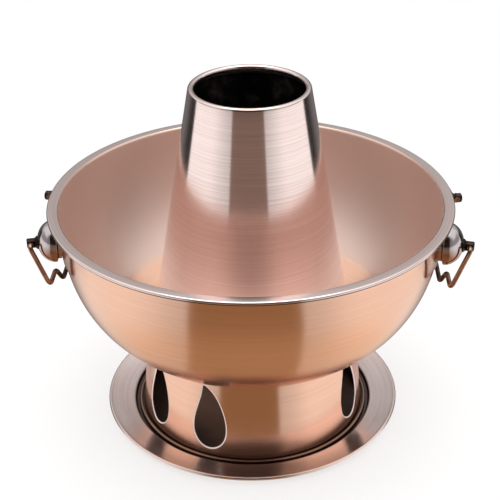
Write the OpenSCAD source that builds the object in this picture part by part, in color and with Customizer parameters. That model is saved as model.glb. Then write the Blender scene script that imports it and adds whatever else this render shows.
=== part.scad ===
// Chimney hot pot: a round bowl on a vented pedestal, with a conical fire chimney through its
// middle, two swinging wire bails on ball lugs, a charcoal grate and a loose tray underneath.
// Millimetres. The origin is on the table, on the axis of the bowl. +Z is up, the two bails
// are at +X and -X, and the front is towards -Y.

/* [Sheet metal] */
// Thickness of the pressed bowl, chimney, pedestal and tray
sheet = 1.0; // [0.8:0.1:1.4]
// Thickness of the two handle plates
plate_t = 1.2; // [0.8:0.1:2]

/* [Bowl] */
// Outer radius of the bowl's wall just under the rim
bowl_r = 161.2; // [150:1:175]
// Height from the bowl's flat underside to the top of its rim
bowl_depth = 127.1; // [110:1:150]
// Width of the flat floor round the chimney, up to where the wall starts to rise
floor_w = 3.5; // [3.4:0.1:12]
// Roundness of the wall near the rim (higher is straighter)
wall_top_n = 2.5; // [2:0.1:3]
// Roundness of the wall near the floor (higher is fuller)
wall_low_m = 2.69; // [2.2:0.1:3.2]
// How far the flat rim stands out past the wall
rim_w = 8.8; // [6:0.2:14]
// Radius of the bead rolled under the rim's outer edge
rim_bead_r = 1.7; // [1.4:0.1:2.2]
// Radius of the bend between the wall and the rim
rim_bend_r = 2.0; // [1.6:0.1:3]
// How far the bowl's floor reaches in under the chimney
floor_lip = 4.5; // [3:0.1:8]

/* [Chimney] */
// Outer radius of the chimney at the bowl's floor
chimney_base_r = 88.5; // [70:0.5:100]
// Outer radius of the chimney at its mouth
chimney_top_r = 49.7; // [40:1:60]
// Height of the chimney's mouth above the bowl's rim
chimney_rise = 99.4; // [60:1:130]
// Radius of the lip rolled inwards at the mouth
chimney_lip_r = 2.6; // [1.8:0.1:3.5]
// Width of the flange that seats the chimney on the bowl's floor
chimney_flange_w = 2.0; // [1.2:0.1:2.4]

/* [Pedestal] */
// Height from the foot to the bowl's underside
pedestal_h = 74.5; // [70:1:95]
// How far the pedestal's wall stands outside the chimney where it meets the bowl
seat_w = 2.9; // [2:0.1:3.4]
// How much wider the wall is where the flare starts
pedestal_spread = 5.4; // [0:0.1:10]
// Height of the flare above the foot
flare_h = 22; // [12:1:26]
// How far the flare spreads outwards
flare_w = 2.4; // [1:0.2:5]
// Width of the flat foot between the flare and its bead
foot_w = 0.6; // [0.4:0.2:3]
// Radius of the bead round the foot
foot_bead_r = 1.6; // [1.3:0.1:2.2]

/* [Air vents] */
// Number of vent pairs round the pedestal
vent_pairs = 3; // [2:1:4]
// Width of one teardrop vent
vent_w = 29.2; // [18:0.2:32]
// Height of one teardrop vent
vent_h = 58.8; // [40:0.2:60]
// Height of the vent's lowest point above the foot
vent_z = 8.7; // [7:0.1:12]
// How far the vent's tip leans sideways
vent_lean = 5.7; // [0:0.1:9]
// Angle between the two vents of a pair
vent_gap_deg = 35.4; // [32:0.2:40]
// Angle from the front to the middle of the first pair
vent_turn_deg = -38.3; // [-60:0.1:60]

/* [Tray] */
// Width of the tray's brim, from the wall of its well to its edge
tray_brim_w = 24.3; // [16:0.1:40]
// Height of the tray's edge above the table
tray_edge_h = 9.0; // [7:0.5:20]
// Height of the inner edge of the brim above the table
tray_well_h = 4.8; // [4.6:0.1:6]
// Gap between the pedestal's foot and the wall of the tray's well
tray_gap = 3.2; // [1:0.1:6]
// Radius of the bead round the tray's edge
tray_bead_r = 1.6; // [1.3:0.1:2.2]

/* [Grate] */
// How much smaller the charcoal grate is than the foot of the chimney, on the radius
grate_inset = 6.5; // [6:0.1:14]
// Thickness of the grate
grate_t = 1.5; // [1:0.1:3]
// Height of the bowl's underside above the grate's lower face
grate_drop = 8.5; // [5:0.1:9]
// Radius of one air hole in the grate
grate_hole_r = 4.5; // [3:0.1:5.5]
// Number of rings of air holes
grate_rings = 3; // [2:1:3]
// Spacing of the rings of air holes
grate_pitch = 20; // [16:0.5:22]
// Width of one of the tabs that carry the grate, as an angle
tab_deg = 10; // [6:1:14]
// Thickness of a tab
tab_t = 1.2; // [0.8:0.1:2]
// How far the tabs reach under the grate
tab_reach = 5; // [3:0.5:8]
// Height of a tab's upright leg
tab_leg = 9; // [6:0.5:12]

/* [Handle plates and lugs] */
// Half of the width of a handle plate at its top edge
plate_half_w = 85; // [72:1:95]
// How much each end of a plate closes in towards its lower edge
plate_taper = 12.8; // [0:0.2:16]
// Height of a handle plate at its middle
plate_h = 41; // [38:1:44]
// How far the plate's lower edge rises towards its ends
plate_sag = 11.6; // [1:0.1:14]
// Gap between the plate's top edge and the underside of the rim
plate_gap = 0.5; // [0.2:0.1:3]
// Height of the lugs' axis below the top of the rim
lug_drop = 21.8; // [21:0.1:24]
// Angle of a lug from the line between the two handles
lug_deg = 13.7; // [13:0.1:16]
// Radius of a lug's washer
washer_r = 15; // [13.6:0.2:16]
// Thickness of a lug's washer, measured on the lug's axis
washer_t = 1.6; // [1.2:0.1:2.5]
// Largest radius of a ball
ball_r = 17.6; // [15:0.1:18]
// Length of a ball from its widest place to its nose
ball_nose = 14.6; // [12:0.1:16]
// Length of a ball behind its widest place
ball_back = 2.6; // [1.8:0.1:4]
// Wall of the pressed balls
ball_t = 0.8; // [0.6:0.1:1.2]
// Radius of the studs
stud_r = 2.5; // [2:0.1:2.8]
// Clearance of a stud in a washer and in a ball
stud_clear = 0.1; // [0.05:0.05:0.3]
// How far a stud is screwed into its end cap
stud_grip = 2.8; // [2:0.1:2.9]
// Radius of the foot of an end cap
cap_foot_r = 5.6; // [5.2:0.1:6.5]
// Height of the straight foot of an end cap
cap_foot_h = 1.0; // [0.6:0.1:1.4]
// Radius of an end cap at its eye
cap_r = 4.1; // [3.8:0.05:4.3]
// Rounding of an end cap's tip
cap_round = 1.2; // [0.6:0.1:1.6]
// Length of an end cap
cap_len = 9.2; // [9:0.1:12]
// Distance from a cap's foot to the centre of its eye
cap_eye = 5.4; // [5.2:0.1:5.8]

/* [Bails] */
// Radius of the bail wire
wire_r = 2.0; // [1.6:0.05:2.1]
// Clearance of the wire in an eye, on the radius
eye_clear = 0.06; // [0.02:0.01:0.1]
// Gap between the bend of a bail's arm and the side of its end cap
arm_gap = 0.35; // [0.3:0.05:1]
// Length of a bail's arms, from the eyes to the shoulders
arm_len = 38.3; // [34:0.1:48]
// Depth of the finger lobe below the shoulders
lobe_drop = 13.0; // [8:0.1:14]
// Half of the width of the finger lobe at its mouth
lobe_half_w = 24.5; // [20:0.5:27]
// How much each side of the lobe closes in towards its bottom
lobe_close = 5.5; // [3:0.1:7]
// Bend radius of the wire at an eye
eye_bend_r = 3.0; // [2.6:0.1:3.5]
// Bend radius of the wire at the corners and round the lobe
bend_r = 6.5; // [4:0.1:7.5]
// Angle at which the bails lean in towards the bowl
bail_lean_deg = 21; // [0:1:22]
// How much thicker the wire is in its bends, on the radius
bend_swell = 0.02; // [0.01:0.01:0.05]
// How far the wire's ends pass through the eyes
wire_end = 4.6; // [4:0.1:6]

/* [Hidden] */
$fn = 96;
curve_steps = 32;                          // steps along the bowl's wall
step_power = 1.5;                          // makes those steps shorter near the floor
arc_steps = 8;                             // steps round a quarter of a bead or a ball
vent_steps = 20;                           // steps along each side of a vent
vent_taper = 0.65;                         // how much a vent narrows towards its tip
vent_hook = 8;                             // how late a vent's middle line starts to lean
flare_steps = 8;                           // steps down the pedestal's flare
dish_steps = 8;                            // steps across the tray's brim
dish_power = 1.5;                          // how late the tray's brim starts to rise
foot_z = sheet;                            // the foot stands on the tray's floor
floor_z = foot_z + pedestal_h;             // the bowl's underside
floor_r = chimney_base_r + floor_w;        // where the bowl's wall starts to rise
fire_hole_r = chimney_base_r - floor_lip;  // hole through the bowl's floor
rim_z = floor_z + bowl_depth;              // top of the rim
rim_r = bowl_r + rim_w;                    // outer radius of the rim
mouth_z = rim_z + chimney_rise;            // the chimney's mouth
chimney_z = floor_z + sheet;               // the chimney's seat on the bowl's floor
chimney_tilt = atan((chimney_base_r - chimney_top_r) / (mouth_z - chimney_z));
// depth at which the bowl's curve would close, set by its radius at the floor
curve_depth = bowl_depth / pow(1 - pow(floor_r / bowl_r, wall_low_m), 1 / wall_top_n);
pedestal_top_r = chimney_base_r + seat_w;
pedestal_low_r = pedestal_top_r + pedestal_spread;
foot_flat_r = pedestal_low_r + flare_w;    // where the flare meets the flat foot
foot_bead_mid = foot_flat_r + foot_w + foot_bead_r;
well_r = foot_bead_mid + foot_bead_r + tray_gap;
tray_r = well_r + tray_brim_w;
well_bend_r = 1.6;                         // bends below and above the well's wall
grate_r = chimney_base_r - grate_inset;
grate_z = floor_z - grate_drop;            // lower face of the grate
plate_top_z = rim_z - sheet - plate_gap;
lug_z = rim_z - lug_drop;                  // axis of the lugs and of the eyes
lug_x = bowl_curve_r(lug_drop) + plate_t;  // face of the handle plate on a lug's axis
ball_x = lug_x + washer_t;                 // open back edge of a ball
ball_open = 52;                            // angle from a ball's axis to its open back edge
ball_mid = ball_x + ball_back * cos(ball_open);
nose_r = cap_foot_r + stud_clear;          // flat on a ball's nose
nose_angle = asin(nose_r / ball_r);
cap_x = ball_mid + ball_nose * cos(nose_angle);
eye_x = cap_x + cap_eye;                   // distance of an eye along its lug's axis
eye_y = eye_x * sin(lug_deg);
hinge_x = eye_x * cos(lug_deg);
eye_r = wire_r + eye_clear;
bend_lap = 4 * bend_swell;                 // how far the straight wire runs into a bend
arm_y = eye_y + cap_r / cos(lug_deg) + arm_gap + eye_bend_r;

// Colours of the finishes
copper = [0.79, 0.55, 0.43];
pale_copper = [0.72, 0.58, 0.52];
dark_copper = [0.42, 0.30, 0.25];
wire_copper = [0.62, 0.38, 0.26];
grate_steel = [0.45, 0.43, 0.42];

// Points on an arc in the plane of a profile
function arc(cx, cz, r, from, to, steps = arc_steps) =
    [for (i = [0:steps]) let (a = from + (to - from) * i / steps) [cx + r * cos(a), cz + r * sin(a)]];

// Outer radius of the bowl's wall at a depth below the top of the rim
function bowl_curve_r(depth) =
    bowl_r * pow(1 - pow(depth / curve_depth, wall_top_n), 1 / wall_low_m);

// The bowl's outer wall from its floor up to the underside of the rim, moved out by a margin
function wall_line(margin) =
    [for (i = [curve_steps:-1:0])
        let (depth = sheet + (bowl_depth - sheet) * (1 - pow(1 - i / curve_steps, step_power)))
        [bowl_curve_r(depth) + margin, rim_z - depth]];

// Outer radius of the pedestal's wall at a height
function pedestal_wall_r(z) =
    let (low = foot_z + flare_h)
    z > low ? pedestal_low_r + (pedestal_top_r - pedestal_low_r) * (z - low) / (floor_z - low)
            : pedestal_low_r + flare_w * pow((low - z) / (flare_h - sheet), 2);

// Outer radius of the chimney at a height
function chimney_wall_r(z) = chimney_base_r - (z - chimney_z) * tan(chimney_tilt);

// The flat piece of sheet a handle plate is cut from, along X
module plate_blank() {
    edge_r = (pow(plate_half_w, 2) + pow(plate_sag, 2)) / (2 * plate_sag);
    low_half_w = plate_half_w - plate_taper;
    translate([0, 0, plate_top_z])
    rotate([90, 0, 90])
    linear_extrude(2 * bowl_r)
    intersection() {
        polygon([[-plate_half_w, 0], [-low_half_w, -plate_h],
                 [low_half_w, -plate_h], [plate_half_w, 0]]);
        translate([0, edge_r - plate_h]) circle(edge_r, $fn = 360);
    }
}

// Everything inside the bowl's outer wall, moved out by a margin
module bowl_block(margin) {
    rotate_extrude()
        polygon(concat([[0, floor_z]], wall_line(margin), [[0, rim_z - sheet]]));
}

// Everything inside a cone that touches the plate's face at the height of the lugs
module plate_cone() {
    slope = bowl_curve_r(lug_drop - sheet) - bowl_curve_r(lug_drop + sheet);
    reach = 2 * washer_r;
    step_r = reach * slope / (2 * sheet);
    translate([0, 0, lug_z - reach])
        cylinder(h = 2 * reach, r1 = lug_x - step_r, r2 = lug_x + step_r, $fn = 360);
}

// Turns a shape on the Z axis into a lug's place: end is -1 at the front and 1 at the rear
module on_lug(end) {
    rotate([0, 0, end * lug_deg])
    translate([0, 0, lug_z])
    rotate([0, 90, 0])
        children();
}

// Mirrors a right-hand piece to the left when side is "left"
module on_side(side) {
    if (side == "left") mirror([1, 0, 0]) children();
    else children();
}

module tray() {
    bend_z = sheet + well_bend_r;
    brim_r = well_r + well_bend_r;
    bead_mid = [tray_r - tray_bead_r, tray_edge_h - tray_bead_r];
    brim_end = bead_mid + tray_bead_r * [cos(150), sin(150)];
    dish = [for (i = [1:dish_steps])
               let (s = i / dish_steps)
               [brim_r + (brim_end.x - brim_r) * s,
                tray_well_h + (brim_end.y - tray_well_h) * pow(s, dish_power)]];
    color(pale_copper)
    rotate_extrude()
        polygon(concat([[0, sheet]],
                       arc(well_r - well_bend_r, bend_z, well_bend_r, -90, 0),
                       arc(brim_r, tray_well_h - well_bend_r, well_bend_r, 180, 90),
                       dish,
                       arc(bead_mid.x, bead_mid.y, tray_bead_r, 130, -140, 3 * arc_steps),
                       [for (i = [dish_steps - 2:-1:0]) dish[i] - [0, sheet]],
                       arc(brim_r, tray_well_h - well_bend_r, well_bend_r - sheet, 90, 180),
                       arc(well_r - well_bend_r, bend_z, well_bend_r + sheet, 0, -90),
                       [[0, 0]]));
}

// How far a vent's outline has opened at an angle of 0 at its lowest point to 180 at its tip
function vent_open(a) = sin(a) * (1 - vent_taper * (1 - cos(a)) / 2);

// Outline of one vent, its lowest point at the origin and its tip leaning to the left
module vent_outline() {
    widest = max([for (a = [0:180]) vent_open(a)]);
    side = [for (i = [0:vent_steps])
               let (a = 180 * i / vent_steps, t = (1 - cos(a)) / 2)
               [-vent_lean * pow(t, vent_hook), vent_h * t,
                vent_w / 2 * vent_open(a) / widest]];
    polygon(concat([for (p = side) [p.x + p.z, p.y]],
                   [for (i = [vent_steps - 1:-1:1]) [side[i].x - side[i].z, side[i].y]]));
}

module vent_cuts() {
    cut_from = pedestal_top_r - 3 * sheet - flare_w;
    cut_to = foot_flat_r + flare_w;
    for (pair = [0:vent_pairs - 1], half = [-0.5, 0.5])
        rotate([0, 0, vent_turn_deg + pair * 360 / vent_pairs + half * vent_gap_deg])
        translate([0, -cut_from, foot_z + vent_z])
        rotate([90, 0, 0])
        linear_extrude(cut_to - cut_from)
            vent_outline();
}

module pedestal() {
    low_z = foot_z + flare_h;
    flare = [for (i = [0:flare_steps])
                let (z = foot_z + sheet + (flare_h - sheet) * i / flare_steps)
                [pedestal_wall_r(z), z]];
    bead_z = foot_z + foot_bead_r;
    bead_end = 180 + asin((foot_bead_r - sheet) / foot_bead_r);
    color(copper)
    difference() {
        rotate_extrude()
            polygon(concat([[foot_flat_r - sheet, foot_z]],
                           arc(foot_bead_mid, bead_z, foot_bead_r, -90, bead_end, 3 * arc_steps),
                           flare,
                           [[pedestal_top_r, floor_z],
                            [fire_hole_r, floor_z],
                            [fire_hole_r, floor_z - sheet],
                            [pedestal_wall_r(floor_z - sheet) - sheet, floor_z - sheet]],
                           [for (i = [flare_steps:-1:0]) flare[i] - [sheet, 0]]));
        vent_cuts();
    }
}

module bowl() {
    wall_r = bowl_r - sheet;
    rim_under = asin((rim_bead_r - sheet) / rim_bead_r);
    inside = [for (p = wall_line(-sheet)) if (p.y < rim_z - sheet - rim_bend_r) p + [0, sheet]];
    color(copper)
    rotate_extrude()
        polygon(concat([[fire_hole_r, floor_z]],
                       wall_line(0),
                       arc(rim_r - rim_bead_r, rim_z - rim_bead_r, rim_bead_r,
                           180 - rim_under, 450, 3 * arc_steps),
                       arc(wall_r + rim_bend_r, rim_z - rim_bend_r, rim_bend_r, 90, 180),
                       [for (i = [len(inside) - 1:-1:0]) inside[i]],
                       [[fire_hole_r, floor_z + sheet]]));
}

module chimney() {
    lip_z = mouth_z - chimney_lip_r;
    lip_mid = chimney_wall_r(lip_z) - chimney_lip_r / cos(chimney_tilt);
    lip_gap = acos((chimney_lip_r - sheet) / chimney_lip_r);
    flange_r = chimney_base_r + chimney_flange_w;
    color(pale_copper)
    rotate_extrude()
        polygon(concat([[chimney_base_r - sheet / cos(chimney_tilt), chimney_z],
                        [flange_r, chimney_z],
                        [flange_r, chimney_z + sheet],
                        [chimney_wall_r(chimney_z + sheet), chimney_z + sheet]],
                       arc(lip_mid, lip_z, chimney_lip_r,
                           chimney_tilt, chimney_tilt + 360 - lip_gap, 4 * arc_steps)));
}

module grate() {
    color(grate_steel)
    translate([0, 0, grate_z])
    difference() {
        cylinder(h = grate_t, r = grate_r);
        translate([0, 0, -grate_t]) {
            cylinder(h = 3 * grate_t, r = grate_hole_r);
            for (ring = [1:grate_rings], i = [0:6 * ring - 1])
                rotate([0, 0, i * 60 / ring])
                translate([ring * grate_pitch, 0, 0])
                    cylinder(h = 3 * grate_t, r = grate_hole_r);
        }
    }
}

// Tabs under the grate, one between each two pairs of vents, each bent down along the inside
// of the pedestal's wall
module grate_tabs() {
    reach_r = grate_r - tab_reach;
    under_z = grate_z - tab_t;
    leg_z = grate_z - tab_leg;
    color(grate_steel)
    for (i = [0:vent_pairs - 1])
        rotate([0, 0, vent_turn_deg - 90 + (i + 0.5) * 360 / vent_pairs - tab_deg / 2])
        rotate_extrude(angle = tab_deg)
            polygon([[reach_r, grate_z],
                     [reach_r, under_z],
                     [pedestal_wall_r(under_z) - sheet - tab_t, under_z],
                     [pedestal_wall_r(leg_z) - sheet - tab_t, leg_z],
                     [pedestal_wall_r(leg_z) - sheet, leg_z],
                     [pedestal_wall_r(grate_z) - sheet, grate_z]]);
}

// Curved plate that backs the two lugs of one handle
module plate(side) {
    color(dark_copper)
    on_side(side)
    intersection() {
        difference() {
            bowl_block(plate_t);
            bowl_block(0);
        }
        plate_blank();
    }
}

module stud(side, end) {
    color(dark_copper)
    on_side(side)
    difference() {
        on_lug(end)
        translate([0, 0, lug_x - washer_t])
            cylinder(h = cap_x + stud_grip - lug_x + washer_t, r = stud_r);
        plate_cone();
    }
}

// Washer between the plate and a ball, its back shaped to the plate
module washer(side, end) {
    color(dark_copper)
    on_side(side)
    difference() {
        on_lug(end)
        translate([0, 0, lug_x - washer_t])
        difference() {
            cylinder(h = 2 * washer_t, r = washer_r);
            translate([0, 0, -washer_t]) cylinder(h = 4 * washer_t, r = stud_r + stud_clear);
        }
        plate_cone();
    }
}

// Hollow ball, open at its back and flat on its nose where the end cap sits
module ball(side, end) {
    inner_r = ball_r - ball_t;
    inner_nose = ball_nose - ball_t;
    inner_end = asin(min(1, (nose_r - ball_t / 2) / inner_r));
    hole_r = stud_r + stud_clear;
    back = [for (i = [0:arc_steps]) ball_open + (90 - ball_open) * i / arc_steps];
    nose = [for (i = [1:2 * arc_steps]) 90 + (90 - nose_angle) * i / (2 * arc_steps)];
    inner = [for (i = [2 * arc_steps:-1:1]) 90 + (90 - inner_end) * i / (2 * arc_steps)];
    color(dark_copper)
    on_side(side)
    on_lug(end)
    rotate_extrude()
        polygon(concat([for (a = back) [ball_r * sin(a), ball_mid - ball_back * cos(a)]],
                       [for (a = nose) [ball_r * sin(a), ball_mid - ball_nose * cos(a)]],
                       [[hole_r, cap_x],
                        [hole_r, ball_mid + inner_nose * cos(inner_end)]],
                       [for (a = inner) [inner_r * sin(a), ball_mid - inner_nose * cos(a)]],
                       [for (i = [arc_steps:-1:0])
                           [inner_r * sin(back[i]), ball_mid - ball_back * cos(back[i])]]));
}

// End cap with a blind bore for its stud and a cross hole, the eye, for the bail
module cap(side, end) {
    tip_x = cap_x + cap_len;
    neck_x = cap_x + cap_foot_h + cap_foot_r - cap_r;
    color(dark_copper)
    on_side(side)
    difference() {
        on_lug(end)
        rotate_extrude()
            polygon(concat([[stud_r, cap_x],
                            [cap_foot_r, cap_x],
                            [cap_foot_r, cap_x + cap_foot_h],
                            [cap_r, neck_x]],
                           arc(cap_r - cap_round, tip_x - cap_round, cap_round, 0, 90),
                           [[0, tip_x],
                            [0, cap_x + stud_grip],
                            [stud_r, cap_x + stud_grip]]));
        translate([hinge_x, end * eye_y, lug_z])
        rotate([90, 0, 0])
            cylinder(h = 4 * cap_r, r = eye_r, center = true);
    }
}

// Wire bent through a list of flat points, each with its bend radius
module bent_wire(points, radii) {
    last = len(points) - 1;
    way = [for (i = [0:last - 1]) (points[i + 1] - points[i]) / norm(points[i + 1] - points[i])];
    turn = [for (i = [1:last - 1])
               let (a = way[i - 1], b = way[i]) atan2(a.x * b.y - a.y * b.x, a.x * b.x + a.y * b.y)];
    cut_back = concat([0], [for (i = [1:last - 1]) radii[i] * tan(abs(turn[i - 1]) / 2)], [0]);
    for (i = [0:last - 1]) {
        from = cut_back[i] - (i > 0 ? bend_lap : 0);
        to = norm(points[i + 1] - points[i]) - cut_back[i + 1] + (i < last - 1 ? bend_lap : 0);
        translate(points[i] + way[i] * from)
        rotate([0, 90, atan2(way[i].y, way[i].x)])
            cylinder(h = to - from, r = wire_r);
    }
    for (i = [1:last - 1]) {
        bend = turn[i - 1];
        hand = sign(bend);
        heading = atan2(way[i - 1].y, way[i - 1].x);
        centre = points[i] - way[i - 1] * cut_back[i]
                 + radii[i] * hand * [-way[i - 1].y, way[i - 1].x];
        translate(centre)
        rotate([0, 0, hand > 0 ? heading - 90 : heading + 90 + bend])
        rotate_extrude(angle = abs(bend))
        translate([radii[i], 0])
            circle(wire_r + bend_swell);
    }
}

module bail(side) {
    lobe_y = lobe_half_w - lobe_close;
    half = [[-eye_y + wire_end, 0], [-arm_y, 0], [-arm_y, -arm_len], [-lobe_half_w, -arm_len],
            [-lobe_y, -arm_len - lobe_drop]];
    last = len(half) - 1;
    points = concat(half, [for (i = [last:-1:0]) [-half[i].x, half[i].y]]);
    radii = [0, eye_bend_r, bend_r, bend_r, bend_r, bend_r, bend_r, bend_r, eye_bend_r, 0];
    color(wire_copper)
    on_side(side)
    translate([hinge_x, 0, lug_z])
    rotate([0, bail_lean_deg, 0])
    rotate([90, 0, 90])
        bent_wire(points, radii, $fn = 36);
}

tray();
pedestal();
bowl();
chimney();
grate();
grate_tabs();
plate("right");  // right_plate
plate("left");  // left_plate
bail("right");  // right_bail
bail("left");  // left_bail
stud("right", -1);  // right_front_stud
stud("right", 1);  // right_rear_stud
stud("left", -1);  // left_front_stud
stud("left", 1);  // left_rear_stud
washer("right", -1);  // right_front_washer
washer("right", 1);  // right_rear_washer
washer("left", -1);  // left_front_washer
washer("left", 1);  // left_rear_washer
ball("right", -1);  // right_front_ball
ball("right", 1);  // right_rear_ball
ball("left", -1);  // left_front_ball
ball("left", 1);  // left_rear_ball
cap("right", -1);  // right_front_cap
cap("right", 1);  // right_rear_cap
cap("left", -1);  // left_front_cap
cap("left", 1);  // left_rear_cap
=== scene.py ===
"""Chimney hot pot: finished pieces, materials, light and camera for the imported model."""
import math
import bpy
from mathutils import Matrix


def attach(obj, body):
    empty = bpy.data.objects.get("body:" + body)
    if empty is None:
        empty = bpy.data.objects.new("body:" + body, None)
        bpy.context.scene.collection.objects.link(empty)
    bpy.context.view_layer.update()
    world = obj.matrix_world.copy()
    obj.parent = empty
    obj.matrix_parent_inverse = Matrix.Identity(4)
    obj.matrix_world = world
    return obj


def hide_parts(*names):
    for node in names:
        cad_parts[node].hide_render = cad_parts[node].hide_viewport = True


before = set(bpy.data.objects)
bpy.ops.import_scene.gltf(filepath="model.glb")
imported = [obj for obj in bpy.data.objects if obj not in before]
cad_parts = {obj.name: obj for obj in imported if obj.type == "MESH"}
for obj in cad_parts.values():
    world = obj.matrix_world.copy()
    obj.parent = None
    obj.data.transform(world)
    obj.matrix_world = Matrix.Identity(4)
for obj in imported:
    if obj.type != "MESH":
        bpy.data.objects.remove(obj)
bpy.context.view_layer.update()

from types import SimpleNamespace

import bmesh
import bpy
from bpy.props import FloatProperty, FloatVectorProperty, IntProperty, PointerProperty
from bpy.types import Operator, Panel, PropertyGroup
from mathutils import Matrix, Vector
from mathutils.geometry import delaunay_2d_cdt

bl_info = {
    "name": "Chimney hot pot",
    "version": (1, 0, 0),
    "blender": (4, 5, 0),
    "location": "3D View > Sidebar > Hot pot",
    "description": "Builds a copper chimney hot pot with a vented pedestal, bails and a tray",
    "category": "Add Mesh",
}

MM = 0.001


# ---------------------------------------------------------------- sizes and colours


def length(name, description, millimetres):
    """A size in the sidebar, in metres."""
    return FloatProperty(
        name=name, description=description, default=millimetres * MM, unit="LENGTH", precision=5
    )


def turn(name, description, degrees):
    """An angle in the sidebar."""
    return FloatProperty(
        name=name, description=description, default=math.radians(degrees), subtype="ANGLE"
    )


def number(name, description, value):
    """A plain factor in the sidebar."""
    return FloatProperty(name=name, description=description, default=value, precision=3)


def count(name, description, value):
    """A number of pieces or steps in the sidebar."""
    return IntProperty(name=name, description=description, default=value, min=1)


def colour(name, description, *rgb):
    """A colour in the sidebar, from its sRGB values of 0 to 255."""
    linear = [(v / 255 / 12.92) if v <= 10 else ((v / 255 + 0.055) / 1.055) ** 2.4 for v in rgb]
    return FloatVectorProperty(
        name=name, description=description, subtype="COLOR", size=3, default=linear, min=0, max=1
    )


def span(name, description, low, high):
    """Two values in the sidebar: where something starts, and where it is full."""
    return FloatVectorProperty(
        name=name, description=description, size=2, default=(low, high), precision=3
    )


class HotPotBowl(PropertyGroup):
    """The bowl and the sheet it is pressed from."""

    sheet: length("Sheet", "Thickness of the bowl, chimney, pedestal and tray", 1.0)
    wall_r: length("Wall radius", "Outer radius of the wall just under the rim", 161.2)
    depth: length("Depth", "From the flat underside to the top of the rim", 127.1)
    floor_r: length("Floor radius", "Radius of the flat underside", 92.0)
    floor_z: length("Floor height", "Height of the underside above the table", 75.5)
    hole_r: length("Fire hole", "Radius of the hole under the chimney", 84.0)
    upper_bulge: number("Upper roundness", "How straight the wall is near the rim", 2.5)
    lower_bulge: number("Lower roundness", "How full the wall is near the floor", 2.69)
    rim_w: length("Rim width", "How far the rim stands out past the wall", 8.8)
    bead_r: length("Rim bead", "Radius of the bead rolled under the rim's edge", 1.7)
    bend_r: length("Rim bend", "Radius of the bend between wall and rim", 2.0)


class HotPotChimney(PropertyGroup):
    """The conical fire chimney."""

    base_r: length("Foot radius", "Outer radius where the chimney stands on the floor", 88.5)
    top_r: length("Mouth radius", "Outer radius at the mouth", 49.7)
    rise: length("Rise", "Height of the mouth above the rim", 99.4)
    lip_r: length("Lip", "Radius of the lip rolled inwards", 2.6)
    flange_w: length("Flange", "Width of the flange on the bowl's floor", 2.0)


class HotPotPedestal(PropertyGroup):
    """The vented pedestal."""

    top_r: length("Top radius", "Radius of the wall under the bowl", 91.4)
    low_r: length("Lower radius", "Radius of the wall where the flare starts", 96.8)
    flare_h: length("Flare height", "Height of the flare above the foot", 22.0)
    flare_w: length("Flare width", "How far the flare spreads", 2.4)
    foot_w: length("Foot width", "Width of the flat foot inside its bead", 0.6)
    bead_r: length("Foot bead", "Radius of the bead round the foot", 1.6)
    vent_pairs: count("Vent pairs", "Number of pairs of teardrop vents", 3)
    vent_w: length("Vent width", "Width of one vent", 29.2)
    vent_h: length("Vent height", "Height of one vent", 58.8)
    vent_z: length("Vent sill", "Height of a vent's lowest point above the foot", 8.7)
    vent_lean: length("Vent lean", "How far a vent's tip leans sideways", 5.7)
    vent_taper: number("Vent taper", "How much narrower a vent gets towards its tip", 0.65)
    vent_hook: count("Vent hook", "How late the lean sets in; more keeps it to the very tip", 8)
    vent_turn: turn("First pair", "Angle from the front to the middle of a pair", -38.3)
    vent_gap: turn("Pair spread", "Angle between the two vents of a pair", 35.4)
    vent_edge: length("Vent edge", "Width of the bright rounded edge round a vent", 1.2)


class HotPotTray(PropertyGroup):
    """The loose tray."""

    brim_w: length("Brim width", "From the wall of the well to the tray's edge", 24.3)
    edge_h: length("Edge height", "Height of the tray's edge above the table", 9.0)
    well_h: length("Well height", "Height of the inner edge of the brim", 4.8)
    gap: length("Foot gap", "Gap between the pedestal's foot and the well's wall", 3.2)
    bead_r: length("Edge bead", "Radius of the bead round the edge", 1.6)
    bend_r: length("Well bends", "Radius of the bends round the well's wall", 1.6)


class HotPotGrate(PropertyGroup):
    """The charcoal grate."""

    radius: length("Radius", "Radius of the grate", 82.0)
    thick: length("Thickness", "Thickness of the grate", 1.5)
    drop: length("Drop", "From the bowl's underside to the grate's lower face", 8.5)
    hole_r: length("Hole radius", "Radius of one air hole", 4.5)
    pitch: length("Ring spacing", "Spacing of the rings of holes", 20.0)
    rings: count("Rings", "Number of rings of holes", 3)


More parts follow.
